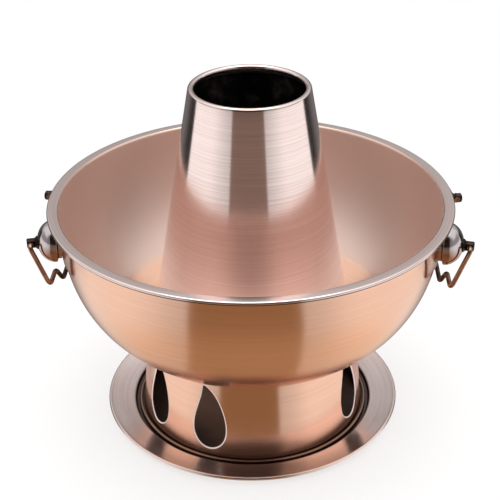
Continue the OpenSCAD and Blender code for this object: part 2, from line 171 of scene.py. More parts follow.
class HotPotHandles(PropertyGroup):
    """The handle plates, the lugs and the bails."""

    plate_t: length("Plate", "Thickness of a handle plate", 1.2)
    plate_half_w: length("Plate half width", "Half of a plate's width at its top edge", 85.0)
    plate_taper: length("Plate taper", "How much each end closes in towards the lower edge", 12.8)
    plate_h: length("Plate height", "Height of a plate at its middle", 41.0)
    plate_sag: length("Plate sag", "Rise of the lower edge towards the ends", 11.6)
    plate_gap: length("Plate gap", "Gap between a plate and the underside of the rim", 0.5)
    lug_drop: length("Lug drop", "Height of the lugs' axis below the rim", 21.8)
    lug_turn: turn("Lug angle", "Angle of a lug from the handles' line", 13.7)
    washer_t: length("Washer", "Thickness of a washer on the lug's axis", 1.6)
    ball_r: length("Ball radius", "Largest radius of a ball", 17.6)
    ball_nose: length("Ball nose", "From the widest place to the nose", 14.6)
    ball_back: length("Ball back", "Length behind the widest place", 2.6)
    ball_open: turn("Ball opening", "Angle of the open back edge from the axis", 52.0)
    ball_t: length("Ball wall", "Wall of the pressed balls", 0.8)
    stud_r: length("Stud", "Radius of a stud", 2.5)
    stud_clear: length("Stud clearance", "Clearance round a stud", 0.1)
    cap_foot_r: length("Cap foot", "Radius of an end cap's foot", 5.6)
    cap_foot_h: length("Cap foot height", "Height of the straight foot", 1.0)
    cap_r: length("Cap radius", "Radius of an end cap at its eye", 4.1)
    cap_round: length("Cap tip", "Rounding of the tip", 1.2)
    cap_len: length("Cap length", "Length of an end cap", 9.2)
    cap_eye: length("Eye place", "From a cap's foot to the centre of its eye", 5.4)
    wire_r: length("Wire radius", "Radius of the bail wire", 2.0)
    eye_clear: length("Eye clearance", "Clearance of the wire in an eye", 0.06)
    arm_gap: length("Arm gap", "Gap between a bail's arm and its cap", 0.35)
    arm_len: length("Arm length", "From the eyes to the shoulders", 38.3)
    lobe_drop: length("Lobe depth", "Depth of the finger lobe", 13.0)
    lobe_half_w: length("Lobe half width", "Half of the lobe's width at its mouth", 24.5)
    lobe_close: length("Lobe taper", "How much each side closes in", 5.5)
    eye_bend_r: length("Eye bend", "Bend radius at an eye", 3.0)
    bend_r: length("Corner bend", "Bend radius at the corners", 6.5)
    lean: turn("Lean", "How far the bails lean in towards the bowl", 21.0)
    wire_end: length("Wire end", "How far the ends pass through the eyes", 4.6)


class HotPotFinishes(PropertyGroup):
    """The colours of the metals."""

    copper: colour("Copper", "Brushed copper of the bowl and the pedestal", 246, 200, 174)
    copper_shade: colour("Copper shade", "The same copper between the brush lines", 236, 188, 162)
    rose: colour("Rose copper", "Paler copper of the chimney, the rim and the tray", 255, 236, 232)
    rose_shade: colour("Rose shade", "The same metal between the brush lines", 240, 217, 210)
    inner: colour("Lining", "Pale satin lining inside the bowl", 238, 212, 200)
    backing: colour("Backing", "Bare metal inside the pedestal and in the tray", 208, 158, 132)
    antique: colour("Antique copper", "Darkened copper of the balls and caps", 168, 122, 102)
    # Painted highlight: the silvery colour of the balls' upper half.
    painted_top_highlight: colour("Rubbed copper", "The same copper where hands have rubbed it bright", 202, 192, 193)
    # Also paints shade: under the rim's bead, at the pedestal's foot, inside the pedestal, in the
    # tray's well and at the balls' back edges.
    patina_and_shade: colour("Patina", "Nearly black tarnish in the corners", 46, 34, 30)
    seam: colour("Seam", "Brown tarnish along the edges of the handle plates", 118, 70, 52)
    wire: colour("Wire", "Copper wire of the bails", 206, 158, 134)
    steel: colour("Steel", "Sheet steel of the grate", 120, 116, 112)
    soot: colour("Soot", "Soot on the grate and inside the chimney", 40, 36, 34)


class HotPotWear(PropertyGroup):
    """How rough the metals are, and where brush lines, the darkened foot, painted shade and soot lie.
    """

    copper_rough: number("Copper roughness", "Roughness of the bowl and the pedestal", 0.18)
    chimney_rough: number("Chimney roughness", "Roughness of the chimney", 0.14)
    tray_rough: number("Tray roughness", "Roughness of the tray", 0.21)
    lug_rough: number("Lug roughness", "Roughness of the balls, caps, washers and studs", 0.11)
    plate_rough: number("Plate roughness", "Roughness of the handle plates", 0.22)
    wire_rough: number("Wire roughness", "Roughness of the bails", 0.17)
    steel_rough: number("Steel roughness", "Roughness of the grate and its tabs", 0.42)
    line_rough: number("Line roughness", "How much rougher the metal is between its lines", 0.04)
    lining_rough: number("Lining roughness", "How much rougher the bowl's inside is", 0.14)
    inside_rough: number("Ash roughness", "How much rougher the metal is where ash lies", 0.2)
    soot_rough: number("Soot roughness", "How much rougher soot and thick tarnish are", 0.3)
    edge_rough: number("Edge roughness", "How much rougher the rounded edges of the vents are", 0.25)
    copper_line: length("Copper lines", "Width of a brush line on the bowl and the pedestal", 0.35)
    chimney_line: length("Chimney lines", "Width of a brush line on the chimney", 0.6)
    tray_line: length("Tray lines", "Width of a turning line on the tray", 0.7)
    line_run: length("Line length", "How far a brush line runs round a piece", 110.0)
    tray_run: length("Tray line length", "How far a turning line runs round the tray", 80.0)
    # These six place the darkened foot, partly painted shade, and the painted shade inside the
    # pedestal and round the tray's well.
    tarnish_h: length("Foot tarnish", "How high thin tarnish climbs up the pedestal", 20.0)
    bead_tarnish_h: length("Bead tarnish", "How high thick tarnish climbs round the foot", 5.5)
    shade_low: length("Ash bank", "Height up to which ash covers the pedestal's inside", 15.0)
    shade_high: length("Ash dust", "Height at which the last ash ends inside the pedestal", 55.0)
    shade_in: length("Clean middle", "Radius of the tray's middle that stays free of ash", 25.0)
    shade_out: length("Ash ring", "Radius from which ash covers the tray's well", 85.0)
    soot_depth: length("Clean mouth", "Depth below the chimney's mouth at which soot starts", 9.0)
    grip_edge: length("Grip edge", "How far the dark grip fades out past the finger lobe", 9.0)


class HotPotStage(PropertyGroup):
    """The camera, the light and the floor."""

    camera_side: length("Camera X", "Camera's place to the right of the axis", -1.0)
    camera_back: length("Camera distance", "Camera's distance in front of the axis", 917.0)
    camera_up: length("Camera height", "Camera's height above the table", 663.1)
    camera_pitch: turn("Camera pitch", "How far the camera looks down", 29.16)
    camera_turn: turn("Camera turn", "How far the camera stands round from the front", 2.0)
    camera_roll: turn("Camera roll", "How far the camera is turned about its view", -0.56)
    camera_lens: number("Lens", "Focal length in millimetres on a 36 mm sensor", 87.98)
    floor_r: length("Floor radius", "Radius of the pale floor, which fades out at its edge", 620.0)
    floor_drop: length("Floor drop", "Gap between the tray and the floor", 0.2)
    floor_fade: span("Floor fade", "Shares of the radius where the floor fades out", 0.42, 0.98)
    floor_shade: colour("Floor", "Colour of the pale floor", 247, 247, 247)
    floor_white: number("Floor white", "How much of the floor is plain white to the camera", 0.6)
    lamp_power: number("Lamp power", "Power of the soft lamp above, in watts", 6.0)
    lamp_size: length("Lamp size", "Width of the soft lamp above", 1300.0)
    lamp_up: length("Lamp height", "Height of the soft lamp above the table", 1700.0)
    lamp_back: length("Lamp place", "How far behind the axis the lamp hangs", 100.0)
    fill_level: number("Fill", "Strength of the even light from all round", 1.25)
    card_width: number("Card width", "Half width of the dark card under the object", 0.29)
    card_flare: number("Card flare", "How much wider the dark card gets towards the front", 0.27)
    card_most: number("Widest card", "Half width of the dark card at the front", 0.46)
    card_shift: number("Card shift", "How far the dark card stands to the left", 0.05)
    card_low: colour("Low card", "Colour of the dark card in front, below the horizon", 177, 143, 104)
    card_high: colour("High card", "Colour of the same card from the horizon up", 150, 127, 117)
    card_top: colour("Top card", "Colour of the same card above the horizon", 72, 54, 44)
    card_under: colour("Under card", "Colour of the same card straight below", 212, 176, 138)
    under: colour("Under light", "Colour of the light from straight below", 255, 235, 214)


class HotPotStudio(PropertyGroup):
    """What the metal mirrors. Heights run from -1, down, to 1, up, and depths from the front back."""

    ceiling: span("Ceiling", "Heights of the light overhead", 0.55, 0.9)
    ceiling_level: number("Ceiling level", "Strength of the light overhead", 1.1)
    table: span("Table light", "Heights of the light from straight below", -0.85, -0.65)
    side_level: number("Side level", "Strength of the side walls next to the dark card", 0.66)
    side_gain: number("Side gain", "How much brighter the side walls get further out", 0.36)
    side_reach: number("Side reach", "How far out the side walls have their full strength", 0.5)
    card_edge: number("Card edge", "Softness of the dark card's edge", 0.015)
    card_front: span("Card front", "Depths where the card in front ends", -0.6, -0.3)
    card_turn: span("Low to high card", "Heights where the low card ends", -0.28, -0.16)
    card_rise: span("High to top card", "Heights where the high card ends", 0.0, 0.15)
    gap_depth: span("Gap depth", "Depths where the card behind stops above the horizon", 0.2, 0.5)
    gap_height: span("Gap height", "Heights where the card behind stops", 0.0, 0.2)
    band_depth: span("Band depth", "Depths of the dark bands that edge the chimney", 0.3, 0.36)
    band_height: span("Band height", "Heights where the dark bands begin", -0.5, -0.43)
    band_fade: span("Band fade", "Depths over which the dark bands get a little lighter", 0.45, 0.85)
    band_dark: number("Band darkness", "How dark the bands are", 0.98)
    band_lift: number("Band lift", "How much lighter they get", 0.14)
    wall_top: span("Wall top", "Heights where the bands end and the wall behind turns pale", 0.1, 0.42)
    wall_depth: span("Low wall depth", "Depths of the dark wall behind, low down", 0.5, 0.8)
    wall_dark: number("Low wall darkness", "How dark that wall is", 0.7)
    high_depth: span("High wall depth", "Depths of the darker wall behind, high up", 0.36, 0.64)
    high_dark: number("High wall darkness", "How dark that wall is", 0.36)
    dim_depth: span("Dim depth", "Depths where the dim front ends", 0.1, 0.5)
    dim_height: span("Dim top", "Heights where the dim front ends", 0.35, 0.6)
    dim_start: span("Dim foot", "Heights where the dim front begins", -0.02, 0.12)
    dim_dark: number("Dim darkness", "How much darker the dim front is", 0.62)


GROUPS = {
    "hot_pot_bowl": HotPotBowl,
    "hot_pot_chimney": HotPotChimney,
    "hot_pot_pedestal": HotPotPedestal,
    "hot_pot_tray": HotPotTray,
    "hot_pot_grate": HotPotGrate,
    "hot_pot_handles": HotPotHandles,
    "hot_pot_finishes": HotPotFinishes,
    "hot_pot_wear": HotPotWear,
    "hot_pot_stage": HotPotStage,
    "hot_pot_studio": HotPotStudio,
}


# ---------------------------------------------------------------- node trees


class Socket:
    """An output of a node tree that can stand in Python arithmetic."""

    def __init__(self, tree, output):
        self.tree, self.output = tree, output

    def math(self, operation, *others):
        inputs = dict(enumerate((self, *others)))
        return self.tree.node("ShaderNodeMath", {"operation": operation}, inputs)

    def __add__(self, other):
        return self.math("ADD", other)

    def __sub__(self, other):
        return self.math("SUBTRACT", other)

    def __mul__(self, other):
        return self.math("MULTIPLY", other)

    def __truediv__(self, other):
        return self.math("DIVIDE", other)

    def __pow__(self, other):
        return self.math("POWER", other)

    def __rsub__(self, other):
        inputs = {0: other, 1: self}
        return self.tree.node("ShaderNodeMath", {"operation": "SUBTRACT"}, inputs)

    __radd__ = __add__
    __rmul__ = __mul__


class Tree:
    """A shader or geometry tree that hands out its nodes' outputs as Sockets."""

    def __init__(self, nodes):
        self.nodes = nodes
        self.nodes.nodes.clear()

    def node(self, kind, settings=None, inputs=None, output=0):
        """Adds a node, with its settings first and then its sockets' values or links."""
        made = self.nodes.nodes.new(kind)
        for name, value in (settings or {}).items():
            setattr(made, name, value)
        for key, value in (inputs or {}).items():
            if isinstance(value, Socket):
                self.nodes.links.new(value.output, made.inputs[key])
            else:
                made.inputs[key].default_value = value
        return Socket(self, made.outputs[output]) if made.outputs else made

    def also(self, socket, output):
        """Another output of the node that a Socket comes from."""
        return Socket(self, socket.output.node.outputs[output])

    def step(self, value, low, high):
        """0 below low, 1 above high and smooth between."""
        settings = {"interpolation_type": "SMOOTHSTEP"}
        inputs = {"Value": value, "From Min": low, "From Max": high}
        return self.node("ShaderNodeMapRange", settings, inputs)

    def mix(self, factor, first, second):
        """A colour between two colours."""
        inputs = {"Factor": factor, 6: rgba(first), 7: rgba(second)}
        return self.node("ShaderNodeMix", {"data_type": "RGBA"}, inputs, output=2)


def rgba(value):
    """A colour with its fourth value, or a Socket as it is."""
    return value if isinstance(value, Socket) else (*value, 1.0)


def new_material(name):
    """An empty material and its tree."""
    material = bpy.data.materials.new(name)
    material.use_nodes = True
    return material, Tree(material.node_tree)


def place_of(tree):
    """The piece's own coordinates."""
    return tree.node("ShaderNodeTexCoord", output="Object")


def split(tree, vector):
    """The x, y and z of a vector."""
    x = tree.node("ShaderNodeSeparateXYZ", inputs={0: vector})
    return x, tree.also(x, "Y"), tree.also(x, "Z")


def clouds_in(tree, place, scale, detail):
    """Soft patches with values round one half."""
    inputs = {"Vector": place, "Scale": scale, "Detail": detail}
    return tree.node("ShaderNodeTexNoise", inputs=inputs)


def carried(tree, name):
    """A value that the mesh carries on its points."""
    return tree.node("ShaderNodeAttribute", {"attribute_name": name}, output="Fac")


def brush_lines(tree, line_w, run):
    """Lines that run round the Z axis, after the coordinates, height and radius they are made of."""
    place = place_of(tree)
    x, y, z = split(tree, place)
    radius = (x * x + y * y) ** 0.5
    fine, slow = 1 / line_w, 1 / run
    around = tree.node("ShaderNodeCombineXYZ", inputs={0: x * slow, 1: y * slow, 2: z * fine})
    inputs = {"Vector": around, "W": radius * fine, "Scale": 1.0, "Detail": 2.0, "Roughness": 0.6}
    lines = tree.node("ShaderNodeTexNoise", {"noise_dimensions": "4D"}, inputs)
    return place, z, radius, lines


def finish_metal(tree, base, roughness, anisotropic, height, relief_mm, metallic=1.0):
    """The metal shader, with its fine relief, and the material's output."""
    bump = {"Height": height, "Strength": 1.0, "Distance": relief_mm * MM}
    inputs = {
        "Base Color": rgba(base),
        "Metallic": metallic,
        "Roughness": roughness,
        "Anisotropic": anisotropic,
        "Anisotropic Rotation": 0.25,
        "Normal": tree.node("ShaderNodeBump", inputs=bump),
    }
    metal = tree.node("ShaderNodeBsdfPrincipled", inputs=inputs)
    tree.node("ShaderNodeOutputMaterial", inputs={"Surface": metal})


def looking_inwards(tree, place):
    """1 where a turned surface faces the pot's middle, and 0 where it faces out."""
    facing = tree.node("ShaderNodeNewGeometry", output="Normal")
    inputs = {0: facing, 1: place}
    outward = tree.node("ShaderNodeVectorMath", {"operation": "DOT_PRODUCT"}, inputs, "Value")
    return 1 - tree.step(outward, -0.02, 0.0)


def brushed_copper():
    """The bowl and the pedestal: copper brushed in circles, with a paler polished rim, a painted
    shadow under the rim's bead, painted shade at the pedestal's foot and inside it, and a painted
    highlight on the vents' edges.
    """
    scene = bpy.context.scene
    look, wear, bowl = scene.hot_pot_finishes, scene.hot_pot_wear, scene.hot_pot_bowl
    material, tree = new_material("Brushed copper")
    place, z, radius, lines = brush_lines(tree, wear.copper_line, wear.line_run)
    clouds = clouds_in(tree, place, 9.0, 3.0)
    wear_and_glint = tree.step(lines * 0.75 + clouds * 0.25, 0.3, 0.7)
    copper = tree.mix(wear_and_glint, look.copper_shade, look.copper)
    rose = tree.mix(wear_and_glint, look.rose_shade, look.rose)
    rim_z = rim_height(bowl)
    bead_in = bowl.wall_r + bowl.rim_w - 2 * bowl.bead_r
    on_top = tree.step(z, rim_z - 0.4 * MM, rim_z - 0.1 * MM)
    on_rim = on_top.math("MAXIMUM", tree.step(radius, bead_in - 0.5 * MM, bead_in))
    # Painted shadow: the underside of the rim's bead turns near-black.
    under = on_rim * (1 - tree.step(z, rim_z - 1.35 * bowl.bead_r, rim_z - 0.85 * bowl.bead_r))
    inside = looking_inwards(tree, place) * (1 - on_rim)
    in_pedestal = inside * (1 - tree.step(z, bowl.floor_z - bowl.sheet, bowl.floor_z))
    in_bowl = inside - in_pedestal
    base = tree.mix(on_rim, tree.mix(inside, copper, look.inner), rose)
    # Darker towards the pedestal's foot: faintly over the flare, and strongly over the bead's lower
    # half, which is painted shade of the gap between the foot and the tray's well.
    thin = 1 - tree.step(z, 5 * MM, wear.tarnish_h)
    thick = 1 - tree.step(z, 3 * MM, wear.bead_tarnish_h)
    tarnish_and_shade = thin * 0.3 + thick * 0.55
    # The painted shadow under the bead and the darker foot are mixed in here.
    base = tree.mix(tarnish_and_shade.math("MAXIMUM", under), base, look.patina_and_shade)
    # Painted shade inside the pedestal: darker towards the bottom and lighter higher up.
    painted_shade = 1 - tree.step(z + (clouds - 0.5) * 30 * MM, wear.shade_low, wear.shade_high)
    back = tree.mix(painted_shade * 0.85, look.backing, look.patina_and_shade)
    # Painted highlight: the vents' rounded edges are pale rose.
    edge = carried(tree, "wear_and_glint")
    base = tree.mix(edge, tree.mix(in_pedestal, base, back), look.rose)
    roughness = wear.copper_rough + (1 - wear_and_glint) * wear.line_rough
    roughness = roughness + in_bowl * wear.lining_rough + in_pedestal * wear.inside_rough
    roughness = roughness + edge * wear.edge_rough
    relief = lines * (1 - on_rim * 0.7) * (1 - edge)
    metallic = (1 - in_bowl * 0.2 - in_pedestal * 0.4 - edge * 0.7).math("MAXIMUM", 0.0)
    finish_metal(tree, base, roughness, 0.82, relief, 0.002, metallic)
    return material


def brushed_rose():
    """The chimney: pale copper brushed in circles, sooty inside."""
    scene = bpy.context.scene
    look, wear = scene.hot_pot_finishes, scene.hot_pot_wear
    bowl, chimney = scene.hot_pot_bowl, scene.hot_pot_chimney
    material, tree = new_material("Brushed rose copper")
    place, z, radius, lines = brush_lines(tree, wear.chimney_line, wear.line_run)
    foot_z, mouth_z, slope = chimney_ends(bowl, chimney)
    wall = chimney.base_r - (z - foot_z) * slope
    inside = tree.step(wall - radius, 0.4 * MM, 0.8 * MM)
    inside = inside * (1 - tree.step(z, mouth_z - wear.soot_depth, mouth_z - 3 * MM))
    wear_and_glint = tree.step(lines, 0.25, 0.75)
    base = tree.mix(wear_and_glint, look.rose_shade, look.rose)
    flakes = clouds_in(tree, place, 60.0, 4.0)
    base = tree.mix(inside * (0.8 + tree.step(flakes, 0.2, 0.5) * 0.2), base, look.soot)
    roughness = wear.chimney_rough + (1 - wear_and_glint) * wear.line_rough + inside * wear.soot_rough
    finish_metal(tree, base, roughness, 0.75, lines, 0.0012)
    return material


def polished_rose():
    """The tray: pale copper, polished, with faint turning lines, painted shade in the gap round the
    pedestal's foot and under the pedestal.
    """
    scene = bpy.context.scene
    look, wear = scene.hot_pot_finishes, scene.hot_pot_wear
    pedestal, tray = scene.hot_pot_pedestal, scene.hot_pot_tray
    material, tree = new_material("Polished rose copper")
    place, z, radius, lines = brush_lines(tree, wear.tray_line, wear.tray_run)
    clouds = clouds_in(tree, place, 14.0, 3.0)
    wear_and_glint = tree.step(lines * 0.5 + clouds * 0.5, 0.38, 0.62)
    base = tree.mix(wear_and_glint, look.rose_shade, look.rose)
    well_r = well_radius(pedestal, tray)
    # Painted shade: the gap between the well's wall and the pedestal's foot turns near-black.
    tarnish_and_shade = 1 - tree.step(radius, well_r - 0.5 * MM, well_r + 2.5 * MM)
    base = tree.mix(tarnish_and_shade * 0.9, base, look.patina_and_shade)
    under_foot = 1 - tree.step(radius, pedestal.low_r - 5 * MM, pedestal.low_r - 2 * MM)
    # Painted shade under the pedestal: lighter in the middle, darker towards the pedestal's wall.
    painted_shade = tree.step(radius + (clouds - 0.5) * 60 * MM, wear.shade_in, wear.shade_out)
    well = tree.mix(painted_shade * 0.85, look.backing, look.patina_and_shade)
    base = tree.mix(under_foot * tree.step(z, 0.0, 0.5 * MM), base, well)
    roughness = wear.tray_rough + (1 - wear_and_glint) * 0.06 + under_foot * wear.inside_rough
    finish_metal(tree, base, roughness, 0.3, lines, 0.0015, 1 - under_foot * 0.8)
    return material


def antique_copper():
    """Balls, caps, washers and studs: dark polished copper, darkened in its corners, partly as painted
    shade, and with a painted highlight over the balls' upper half.
    """
    scene = bpy.context.scene
    look, wear = scene.hot_pot_finishes, scene.hot_pot_wear
    material, tree = new_material("Antique copper")
    place = place_of(tree)
    clouds = clouds_in(tree, place, 90.0, 4.0)
    # Darker where the mesh is marked: the whole caps, and on the balls their back edges, partly
    # painted shade, and round the caps' seats.
    dark = tree.step(carried(tree, "patina_and_shade") + (clouds - 0.5) * 0.5, 0.25, 0.85)
    lug_z = lug_height(scene.hot_pot_bowl, scene.hot_pot_handles)
    z = split(tree, place)[2]
    # Painted highlight: the balls' upper half is silvery; the lower half keeps the antique copper.
    painted_top_highlight = tree.step(z + (clouds - 0.5) * 12 * MM, lug_z - 7 * MM, lug_z + 4 * MM)
    base = tree.mix(dark, tree.mix(painted_top_highlight, look.antique, look.painted_top_highlight), look.patina_and_shade)
    roughness = wear.lug_rough + dark * 0.2 + (clouds - 0.5) * 0.06
    finish_metal(tree, base, roughness, 0.0, clouds, 0.01)
    return material


def edged_copper():
    """The handle plates: copper like the bowl's, with dark tarnish along their edges."""
    scene = bpy.context.scene
    look, wear = scene.hot_pot_finishes, scene.hot_pot_wear
    material, tree = new_material("Dark-edged copper")
    lines = brush_lines(tree, wear.copper_line, wear.line_run)[-1]
    wear_and_glint = tree.step(lines, 0.3, 0.7)
    dark = tree.step(carried(tree, "patina_and_shade"), 0.2, 0.7)
    base = tree.mix(dark, tree.mix(wear_and_glint, look.copper_shade, look.copper), look.seam)
    roughness = wear.plate_rough + (1 - wear_and_glint) * wear.line_rough + dark * wear.soot_rough
    finish_metal(tree, base, roughness, 0.7, lines, 0.002, 1 - dark * 0.6)
    return material


def copper_wire():
    """The bails: drawn copper wire with darker streaks and a dark grip."""
    scene = bpy.context.scene
    look, wear, handles = scene.hot_pot_finishes, scene.hot_pot_wear, scene.hot_pot_handles
    material, tree = new_material("Copper wire")
    place = place_of(tree)
    clouds = clouds_in(tree, place, 160.0, 4.0)
    across = split(tree, place)[1].math("ABSOLUTE")
    grip = 1 - tree.step(across, handles.lobe_half_w, handles.lobe_half_w + wear.grip_edge)
    streaks = (tree.step(clouds, 0.4, 0.6) - 0.5) * 0.25
    dark = (0.3 + grip * 0.6 + streaks).math("MINIMUM", 0.95)
    base = tree.mix(dark, look.wire, look.patina_and_shade)
    finish_metal(tree, base, wear.wire_rough + clouds * 0.06, 0.0, clouds, 0.006)
    return material


def sooty_steel():
    """The grate and its tabs: sheet steel dulled by fire."""
    scene = bpy.context.scene
    look, wear = scene.hot_pot_finishes, scene.hot_pot_wear
    material, tree = new_material("Sooty steel")
    clouds = clouds_in(tree, place_of(tree), 55.0, 6.0)
    sooty = tree.step(clouds, 0.4, 0.62)
    base = tree.mix(sooty, look.steel, look.soot)
    finish_metal(tree, base, wear.steel_rough + sooty * wear.soot_rough, 0.0, clouds, 0.08)
    return material


MATERIALS = {
    "copper_brushed": brushed_copper,
    "copper_rose": brushed_rose,
    "copper_polished": polished_rose,
    "copper_antique": antique_copper,
    "copper_edged": edged_copper,
    "copper_wire": copper_wire,
    "steel_grate": sooty_steel,
}
made_materials = {}


def material_of(finish):
    """The material of a finish, made the first time that it is asked for."""
    if finish not in made_materials:
        made_materials[finish] = MATERIALS[finish]()
    return made_materials[finish]


# ---------------------------------------------------------------- shapes


def arc(across, up, radius, start, end, steps=8):
    """Points of an arc in a profile, its angles in degrees."""
    turns = [math.radians(start + (end - start) * i / steps) for i in range(steps + 1)]
    return [(across + radius * math.cos(a), up + radius * math.sin(a)) for a in turns]


SHARPEST_BEND = 30.0  # degrees; a profile that turns by more keeps a crisp edge


def corner_of(before, here, after):
    """How much a profile turns at a point, in degrees."""
    one = math.atan2(here[1] - before[1], here[0] - before[0])
    two = math.atan2(after[1] - here[1], after[0] - here[0])
    return abs(math.degrees(math.remainder(two - one, math.tau)))


def revolve(profile, segments=256, patina_and_shade=None):
    """A mesh of a closed profile, counter-clockwise in (radius, height), turned round Z."""
    mesh = bmesh.new()
    tint = mesh.verts.layers.float.new("patina_and_shade") if patina_and_shade else None
    turns = [math.tau * j / segments for j in range(segments)]
    rings = []
    for i, (radius, height) in enumerate(profile):
        angles = turns if radius > 1e-7 else [0.0]
        ring = [mesh.verts.new((radius * math.cos(a), radius * math.sin(a), height)) for a in angles]
        if patina_and_shade:
            for vertex in ring:
                vertex[tint] = patina_and_shade[i]
        rings.append(ring)
    size = len(profile)
    for i in range(size):
        low, high = rings[i], rings[(i + 1) % size]
        if len(low) == len(high) == 1:
            continue
        for j in range(segments):
            k = j + 1
            corners = [low[j % len(low)], low[k % len(low)], high[k % len(high)], high[j % len(high)]]
            mesh.faces.new(list(dict.fromkeys(corners))).smooth = True
    for i in range(size):
        ring = rings[i]
        sharp = corner_of(profile[i - 1], profile[i], profile[(i + 1) % size]) > SHARPEST_BEND
        if sharp and len(ring) > 1:
            for j in range(segments):
                edge = mesh.edges.get((ring[j], ring[(j + 1) % segments]))
                if edge:
                    edge.smooth = False
    return mesh


def add_piece(name, mesh, finish):
    """Turns a bmesh, or a mesh as it is, into an object with its material."""
    data = mesh
    if isinstance(mesh, bmesh.types.BMesh):
        data = bpy.data.meshes.new(name)
        mesh.to_mesh(data)
        mesh.free()
    data.materials.clear()
    data.materials.append(material_of(finish))
    piece = bpy.data.objects.new(name, data)
    bpy.context.scene.collection.objects.link(piece)
    return piece


def settle(piece, body, slot, *nodes):
    """Makes a piece ride on its body in place of its CAD nodes."""
    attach(piece, body)
    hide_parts(*nodes)


def dress(node, finish):
    """Gives a kept CAD node its material."""
    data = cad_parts[node].data
    data.materials.clear()
    data.materials.append(material_of(finish))


def apply_tree(piece, group, finish, values):
    """Runs a geometry tree on a piece, with its material and values, and keeps the result."""
    modifier = piece.modifiers.new("Shape", "NODES")
    modifier.node_group = group
    given = {"Material": material_of(finish), **values}
    for item in group.interface.items_tree:
        if item.item_type == "SOCKET" and item.in_out == "INPUT" and item.name in given:
            modifier[item.identifier] = given[item.name]
    graph = bpy.context.evaluated_depsgraph_get()
    shaped = bpy.data.meshes.new_from_object(piece.evaluated_get(graph))
    piece.modifiers.remove(modifier)
    old, piece.data = piece.data, shaped
    bpy.data.meshes.remove(old)
    if not len(shaped.polygons):
        raise RuntimeError(f"{piece.name} came out with no faces")


def shade_smooth(piece, sharpest):
    """Smooths a piece except where its faces meet at more than an angle in degrees."""
    piece.data.polygons.foreach_set("use_smooth", [True] * len(piece.data.polygons))
    piece.data.set_sharp_from_angle(angle=math.radians(sharpest))


def new_geometry_tree(name, values):
    """A geometry tree with an input for each value; also the tree's Sockets by name."""
    group = bpy.data.node_groups.new(name, "GeometryNodeTree")
    kinds = {"Geometry": "NodeSocketGeometry", "Material": "NodeSocketMaterial"}
    for label in (*kinds, *values):
        kind = "NodeSocketInt" if isinstance(values.get(label), int) else "NodeSocketFloat"
        kind = kinds.get(label, kind)
        socket = group.interface.new_socket(label, in_out="INPUT", socket_type=kind)
        if label in values:
            socket.default_value = values[label]
    group.interface.new_socket("Geometry", in_out="OUTPUT", socket_type="NodeSocketGeometry")
    tree = Tree(group)
    first = tree.node("NodeGroupInput")
    return group, tree, {label: tree.also(first, label) for label in (*kinds, *values)}


def finish_geometry_tree(tree, geometry, material):
    """Realizes the instances, sets the material and ends the tree."""
    real = tree.node("GeometryNodeRealizeInstances", inputs={"Geometry": geometry})
    inputs = {"Geometry": real, "Material": material}
    dressed = tree.node("GeometryNodeSetMaterial", inputs=inputs)
    tree.node("NodeGroupOutput", inputs={0: dressed})


# ---------------------------------------------------------------- the profiles' rules


def rim_height(bowl):
    """Height of the top of the rim above the table."""
    return bowl.floor_z + bowl.depth


def lug_height(bowl, handles):
    """Height of the lugs' axis and of the bails' hinges."""
    return rim_height(bowl) - handles.lug_drop


def chimney_ends(bowl, chimney):
    """Heights of the chimney's foot and mouth, and how much it narrows per metre of height."""
    foot_z, mouth_z = bowl.floor_z + bowl.sheet, rim_height(bowl) + chimney.rise
    return foot_z, mouth_z, (chimney.base_r - chimney.top_r) / (mouth_z - foot_z)


def well_radius(pedestal, tray):
    """Radius of the well's wall in the tray, round the pedestal's foot."""
    foot_r = pedestal.low_r + pedestal.flare_w + pedestal.foot_w + 2 * pedestal.bead_r
    return foot_r + tray.gap


def wall_radius(bowl, depth):
    """Outer radius of the bowl's wall at a depth below the top of the rim."""
    reach = 1 - (bowl.floor_r / bowl.wall_r) ** bowl.lower_bulge
    closing = bowl.depth / reach ** (1 / bowl.upper_bulge)
    inner = 1 - (depth / closing) ** bowl.upper_bulge
    return bowl.wall_r * inner ** (1 / bowl.lower_bulge)


def pedestal_radius(pedestal, bowl, height):
    """Outer radius of the pedestal's wall at a height above the table."""
    low = bowl.sheet + pedestal.flare_h
    if height > low:
        share = (height - low) / (bowl.floor_z - low)
        return pedestal.low_r + (pedestal.top_r - pedestal.low_r) * share
    share = (low - height) / (pedestal.flare_h - bowl.sheet)
    return pedestal.low_r + pedestal.flare_w * share**2


def lug_places(bowl, handles):
    """Where things lie along a lug's axis, and the angle of the flat on a ball's nose."""
    face = wall_radius(bowl, handles.lug_drop) + handles.plate_t
    back = face + handles.washer_t
    middle = back + handles.ball_back * math.cos(handles.ball_open)
    flat = math.asin((handles.cap_foot_r + handles.stud_clear) / handles.ball_r)
    cap = middle + handles.ball_nose * math.cos(flat)
    return SimpleNamespace(back=back, middle=middle, flat=flat, cap=cap, eye=cap + handles.cap_eye)


def hinge_place(bowl, handles):
    """Distances of an eye from the pot's middle: to the side, and to the front or the rear."""
    eye = lug_places(bowl, handles).eye
    return eye * math.cos(handles.lug_turn), eye * math.sin(handles.lug_turn)


